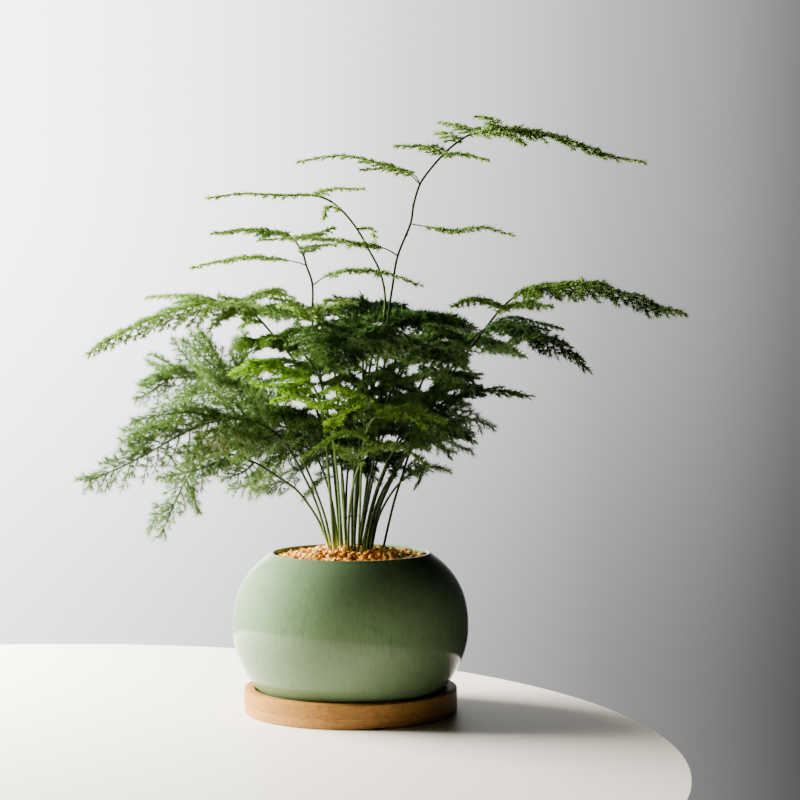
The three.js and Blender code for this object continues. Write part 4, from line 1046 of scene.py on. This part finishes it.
def gravel(material):
    """Crushed amber grains over a bed that fills the bowl's mouth, clear of the canes. The bed's dark
    brown, darker than any grain, is painted shade in the gaps between the grains.
    """
    rng = np.random.default_rng(GRAIN_SEED)
    build = Build()
    bottom = GRAVEL_BOTTOM + SEAT_GAP
    wall = cavity_profile(bottom, GRAVEL_EDGE_HEIGHT - 0.6, 8) - (SEAT_GAP, 0)
    crown = [(radius, gravel_top(radius) - BED_DEPTH) for radius in BED_RADII]
    # The dark bed is painted shade in the gaps between the grains
    turned(build, [(0, bottom), *wall, *crown], BED_SHADE_COLOUR)

    edge = float(wall[-1][0])
    number = np.arange(GRAINS)
    radius = (edge - GRAIN_INSET) * np.sqrt((number + 0.5) / GRAINS)
    angle = number * GOLDEN_ANGLE
    size = rng.uniform(*GRAIN_SIZE, GRAINS)
    place = np.stack([radius * np.cos(angle), radius * np.sin(angle)], axis=1)
    place += rng.normal(0, GRAIN_SCATTER, (GRAINS, 2))
    place *= np.minimum(1, (edge - 0.9 * size) / np.linalg.norm(place, axis=1))[:, None]
    feet = np.array([entry["foot"] for entry in CANES])
    room = np.min(np.linalg.norm(place[:, None] - feet[None], axis=2), axis=1)
    kept = room > 1.0 + 0.35 * size
    height = gravel_top(np.linalg.norm(place, axis=1)) + rng.uniform(*GRAIN_RISE, GRAINS)

    points, faces = ball()
    shape = grain_shapes(points, size, rng) + np.column_stack([place, height])[:, None]
    colour = GRAIN_COLOURS[rng.choice(len(GRAIN_COLOURS), GRAINS, p=GRAIN_SHARES / GRAIN_SHARES.sum())]
    colour = colour * rng.uniform(0.75, 1.2, (GRAINS, 1))
    tints = np.repeat(colour[kept][:, None], len(points), axis=1)
    first = len(points) * np.arange(np.sum(kept))[:, None, None]
    faces = (faces[None] + first).reshape(-1, 3)
    build.add(shape[kept].reshape(-1, 3), tints.reshape(-1, 3), faces, smooth=False)
    piece("gravel_dressing", build, [material], "gravel")


class Nodes:
    """Makes the nodes of one shader tree. What goes into a node is a socket to link or a plain value."""

    def __init__(self, tree):
        self.tree = tree

    def feed(self, node, inputs):
        """Fills a node's inputs, given by name or number."""
        for key, value in inputs.items():
            if isinstance(value, bpy.types.NodeSocket):
                self.tree.links.new(value, node.inputs[key])
            else:
                node.inputs[key].default_value = value

    def add(self, kind, inputs=None, **settings):
        node = self.tree.nodes.new("ShaderNode" + kind)
        for key, value in settings.items():
            setattr(node, key, value)
        self.feed(node, inputs or {})
        return node

    def math(self, operation, *values):
        return self.add("Math", dict(enumerate(values)), operation=operation).outputs["Value"]

    def vector(self, operation, *values, output="Vector", **inputs):
        inputs = {**dict(enumerate(values)), **inputs}
        return self.add("VectorMath", inputs, operation=operation).outputs[output]

    def place(self, *scale):
        """Object coordinates, in metres, stretched by a scale for each axis."""
        where = self.add("TexCoord").outputs["Object"]
        return self.add("Mapping", {"Vector": where, "Scale": scale or (1, 1, 1)}).outputs["Vector"]

    def noise(self, place, scale, detail, roughness=0.5, output="Fac"):
        inputs = {"Vector": place, "Scale": scale, "Detail": detail, "Roughness": roughness}
        return self.add("TexNoise", inputs).outputs[output]

    def ramp(self, share, *stops):
        """A colour from (position, colour) stops."""
        node = self.add("ValToRGB", {"Fac": share})
        elements = node.color_ramp.elements
        while len(elements) < len(stops):
            elements.new(0.5)
        for element, (position, colour) in zip(elements, stops):
            element.position = position
            element.color = (*colour, 1)
        return node.outputs["Color"]

    def blend(self, first, second, share=1.0, kind="MULTIPLY"):
        """Two colours multiplied, or mixed in another way."""
        inputs = {0: share, 6: first, 7: second}
        return self.add("Mix", inputs, data_type="RGBA", blend_type=kind).outputs[2]

    def eased(self, value, low, high, start, end):
        """A value that goes smoothly from start to end while another goes from low to high."""
        inputs = {"Value": value, "From Min": low, "From Max": high, "To Min": start, "To Max": end}
        return self.add("MapRange", inputs, interpolation_type="SMOOTHSTEP").outputs["Result"]

    def bump(self, height, strength, distance, invert=False):
        inputs = {"Height": height, "Strength": strength, "Distance": distance}
        return self.add("Bump", inputs, invert=invert).outputs["Normal"]

    def tinted(self, noise, *stops):
        """The mesh's own tint, broken up by noise."""
        tint = self.add("Attribute", attribute_name="tint").outputs["Color"]
        return self.blend(tint, self.ramp(noise, *stops))


def new_material(name):
    """A new material, its nodes and its shader."""
    material = bpy.data.materials.new(name)
    material.use_nodes = True
    return material, Nodes(material.node_tree), material.node_tree.nodes["Principled BSDF"]


def foliage_material(name, roughness, glow):
    """Needles: their own tint, broken up by fine noise, with light that comes through them."""
    material, nodes, shader = new_material(name)
    noise = nodes.noise(nodes.place(), 420.0, 3.0, 0.6)
    colour = nodes.tinted(noise, (0.3, (0.72, 0.74, 0.7)), (0.7, (1.2, 1.2, 1.1)))
    nodes.feed(shader, {"Base Color": colour, "Roughness": roughness, "Specular IOR Level": 0.25})
    through = nodes.add("BsdfTranslucent", {"Color": colour}).outputs["BSDF"]
    both = nodes.add("MixShader", {"Fac": glow, 1: shader.outputs["BSDF"], 2: through}).outputs["Shader"]
    nodes.feed(material.node_tree.nodes["Material Output"], {"Surface": both})
    return material


def bark_material():
    """Smooth cane skin with fine lengthwise streaks."""
    material, nodes, shader = new_material("cane_skin")
    noise = nodes.noise(nodes.place(1800, 1800, 160), 1.0, 4.0, 0.6)
    colour = nodes.tinted(noise, (0.3, (0.65, 0.65, 0.6)), (0.7, (1.25, 1.25, 1.2)))
    nodes.feed(shader, {"Base Color": colour, "Roughness": 0.55, "Specular IOR Level": 0.15,
                        "Normal": nodes.bump(noise, 0.3, 0.0001)})
    return material


def gravel_material():
    """Crushed stone: each grain's own tint with paler bloom, darker pits and a dull, grainy surface."""
    material, nodes, shader = new_material("amber_gravel")
    noise = nodes.noise(nodes.place(), 900.0, 5.0, 0.65)
    colour = nodes.tinted(noise, (0.25, (0.55, 0.5, 0.45)), (0.55, (1.0, 1.0, 1.0)), (0.8, (1.35, 1.4, 1.5)))
    nodes.feed(shader, {"Base Color": colour, "Roughness": 0.6, "Normal": nodes.bump(noise, 0.5, 0.0003)})
    return material


def crackle(nodes, where, scale, width):
    """Fine lines between glaze cells: 1 on a line, 0 away from it."""
    cells = nodes.add("TexVoronoi", {"Vector": where, "Scale": scale}, feature="DISTANCE_TO_EDGE")
    return nodes.ramp(cells.outputs["Distance"], (0.0, (1, 1, 1)), (width, (0, 0, 0)))


def glaze_material():
    """Celadon glaze: soft mottling, faint runs down the wall, and a net of curved crackle lines."""
    material, nodes, shader = new_material("celadon_glaze")
    place = nodes.place(1, 1, 0.17)
    drift = nodes.vector("SUBTRACT", nodes.noise(place, 22.0, 2.0, output="Color"), (0.5, 0.5, 0.5))
    warped = nodes.vector("ADD", place, nodes.vector("SCALE", drift, Scale=0.035))
    coarse, fine = crackle(nodes, warped, 330.0, 0.06), crackle(nodes, warped, 620.0, 0.08)
    lines = nodes.math("MULTIPLY_ADD", fine, 0.4, coarse)
    mottle = nodes.noise(nodes.place(), 14.0, 4.0)
    base = nodes.ramp(mottle, (0.35, (0.097, 0.156, 0.072)), (0.65, (0.120, 0.184, 0.088)))
    runs = nodes.noise(nodes.place(170, 170, 9), 1.0, 3.0)
    streak = nodes.ramp(runs, (0.35, (0.96, 0.965, 0.955)), (0.65, (1.03, 1.025, 1.03)))
    share = nodes.math("MULTIPLY", lines, 0.38)
    colour = nodes.blend(nodes.blend(base, streak), (0.045, 0.085, 0.035, 1), share, kind="MIX")
    nodes.feed(shader, {"Base Color": colour, "Roughness": 0.05, "IOR": 1.5, "Specular IOR Level": 0.26,
                        "Normal": nodes.bump(lines, 0.08, 0.0003, invert=True)})
    return material


def bamboo_material():
    """Laminated bamboo: streaks along the grain, dark vascular flecks, and a glue line between layers."""
    material, nodes, shader = new_material("bamboo_laminate")
    grain = nodes.noise(nodes.place(45, 900, 900), 1.0, 6.0, 0.6)
    base = nodes.ramp(grain, (0.3, (0.23, 0.099, 0.016)), (0.5, (0.32, 0.148, 0.027)),
                      (0.7, (0.40, 0.205, 0.042)))
    cells = nodes.add("TexVoronoi", {"Vector": nodes.place(150, 1100, 1100), "Scale": 1.0}, feature="F1")
    distance = cells.outputs["Distance"]
    flecked = nodes.blend(base, nodes.ramp(distance, (0.0, (0.60, 0.52, 0.45)), (0.28, (1, 1, 1))), 0.75)
    strips = nodes.add("TexWave", {"Vector": nodes.place(), "Scale": 14.0}, wave_type="BANDS",
                       bands_direction="Y", wave_profile="SAW")
    seam = nodes.ramp(strips.outputs["Color"], (0.0, (0.90, 0.88, 0.86)), (0.04, (1.0, 1.0, 1.0)),
                      (1.0, (0.97, 0.97, 0.96)))
    parts = nodes.add("SeparateXYZ", {"Vector": nodes.add("TexCoord").outputs["Object"]})
    height = nodes.add("MapRange", {"Value": parts.outputs["Z"], "From Max": SAUCER_HEIGHT * MM})
    layer = nodes.ramp(height.outputs["Result"], (0.0, (1.06, 1.08, 1.10)), (0.40, (1.10, 1.12, 1.14)),
                       (0.425, (0.80, 0.76, 0.72)), (0.45, (0.90, 0.88, 0.86)), (1.0, (0.94, 0.92, 0.90)))
    colour = nodes.blend(nodes.blend(flecked, seam), layer)
    nodes.feed(shader, {"Base Color": colour, "Roughness": 0.55, "Specular IOR Level": 0.25,
                        "Normal": nodes.bump(distance, 0.35, 0.0002)})
    return material


def soil_material():
    """Dark, crumbly potting soil."""
    material, nodes, shader = new_material("potting_soil")
    crumbs = nodes.noise(nodes.place(), 500.0, 6.0, 0.7)
    colour = nodes.ramp(crumbs, (0.35, (0.012, 0.008, 0.005)), (0.6, (0.045, 0.028, 0.016)),
                        (0.8, (0.10, 0.065, 0.04)))
    nodes.feed(shader, {"Base Color": colour, "Roughness": 0.95, "Normal": nodes.bump(crumbs, 0.8, 0.001)})
    return material


def floor():
    """A plain pale floor: the top of a round table, well to the left of the saucer."""
    turn = 2 * math.pi * np.arange(TABLE_SEGMENTS) / TABLE_SEGMENTS
    ring = np.stack([np.cos(turn), np.sin(turn), 0 * turn], axis=1)
    build = Build()
    build.add((*TABLE_CENTRE, 0) + TABLE_RADIUS * ring, (0.8, 0.8, 0.8), np.arange(TABLE_SEGMENTS)[None])
    made = placed("floor", build.mesh("floor"))
    material, nodes, shader = new_material("pale_floor")
    nodes.feed(shader, {"Base Color": (0.72, 0.655, 0.545, 1), "Roughness": 0.45})
    made.data.materials.append(material)


def surroundings():
    """A soft grey studio: a broad light on the left, dark on the right and dim behind the viewer."""
    world = bpy.data.worlds.new("studio")
    world.use_nodes = True
    bpy.context.scene.world = world
    nodes = Nodes(world.node_tree)
    place = nodes.add("TexCoord").outputs["Generated"]
    parts = nodes.add("SeparateXYZ", {"Vector": place}).outputs
    across = nodes.add("MapRange", {"Value": parts["X"], "From Min": -1.0, "From Max": 1.0})
    greys = ((position, (grey, grey, grey)) for position, grey in BACKDROP)
    wall = nodes.ramp(across.outputs["Result"], *greys)
    low = nodes.eased(parts["Z"], -0.2, 0.08, 0.45, 1.0)
    high = nodes.eased(parts["Z"], 0.16, 0.5, 1.0, 0.12)
    dim = nodes.eased(parts["Y"], 0.2, 0.8, 0.1, BACKDROP_LIGHT)
    lit = nodes.math("MULTIPLY", wall, nodes.math("MULTIPLY", dim, nodes.math("MULTIPLY", low, high)))
    towards = nodes.vector("DOT_PRODUCT", place, Vector(WINDOW_AT).normalized(), output="Value")
    window = nodes.math("POWER", nodes.math("MAXIMUM", towards, 0.0), WINDOW_FOCUS)
    side = nodes.eased(parts["Y"], -0.3, 0.12, 0.0, WINDOW_LIGHT)
    total = nodes.math("MULTIPLY_ADD", window, side, lit)
    nodes.feed(world.node_tree.nodes["Background"], {"Color": total, "Strength": 1.0})


def aimed(made, place, aim):
    """Puts a lamp or the camera in its place, looking at a point."""
    made.location = Vector(place) * MM
    made.rotation_euler = (Vector(aim) - Vector(place)).to_track_quat("-Z", "Y").to_euler()


def key_lamp():
    """A soft square light on the left, behind the plant, which doesn't show in the glaze."""
    light = bpy.data.lights.new("key", "AREA")
    light.shape = "SQUARE"
    light.size = KEY_SIDE * MM
    light.energy = KEY_WATTS
    made = placed("key", light)
    made.visible_glossy = False
    aimed(made, KEY_PLACE, KEY_AIM)


def camera():
    data = bpy.data.cameras.new("camera")
    data.sensor_width = SENSOR_WIDTH
    data.lens = FOCAL_PX / PHOTO_WIDTH_PX * SENSOR_WIDTH
    made = placed("camera", data)
    aimed(made, (0, -VIEW_DISTANCE, VIEW_HEIGHT), AIM)
    bpy.context.scene.camera = made


camera()
surroundings()
floor()
key_lamp()

bowl(glaze_material())
saucer(bamboo_material())
gravel(gravel_material())
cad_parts["soil"].material_slots[0].material = soil_material()
leaves = {
    "bark": bark_material(),
    "mature": foliage_material("mature_needles", 0.55, 0.35),
    "young": foliage_material("young_needles", 0.5, 0.45),
    "airy": foliage_material("airy_needles", 0.6, 0.5),
}
for number, entry in enumerate(CANES):
    frond(number, entry, leaves)
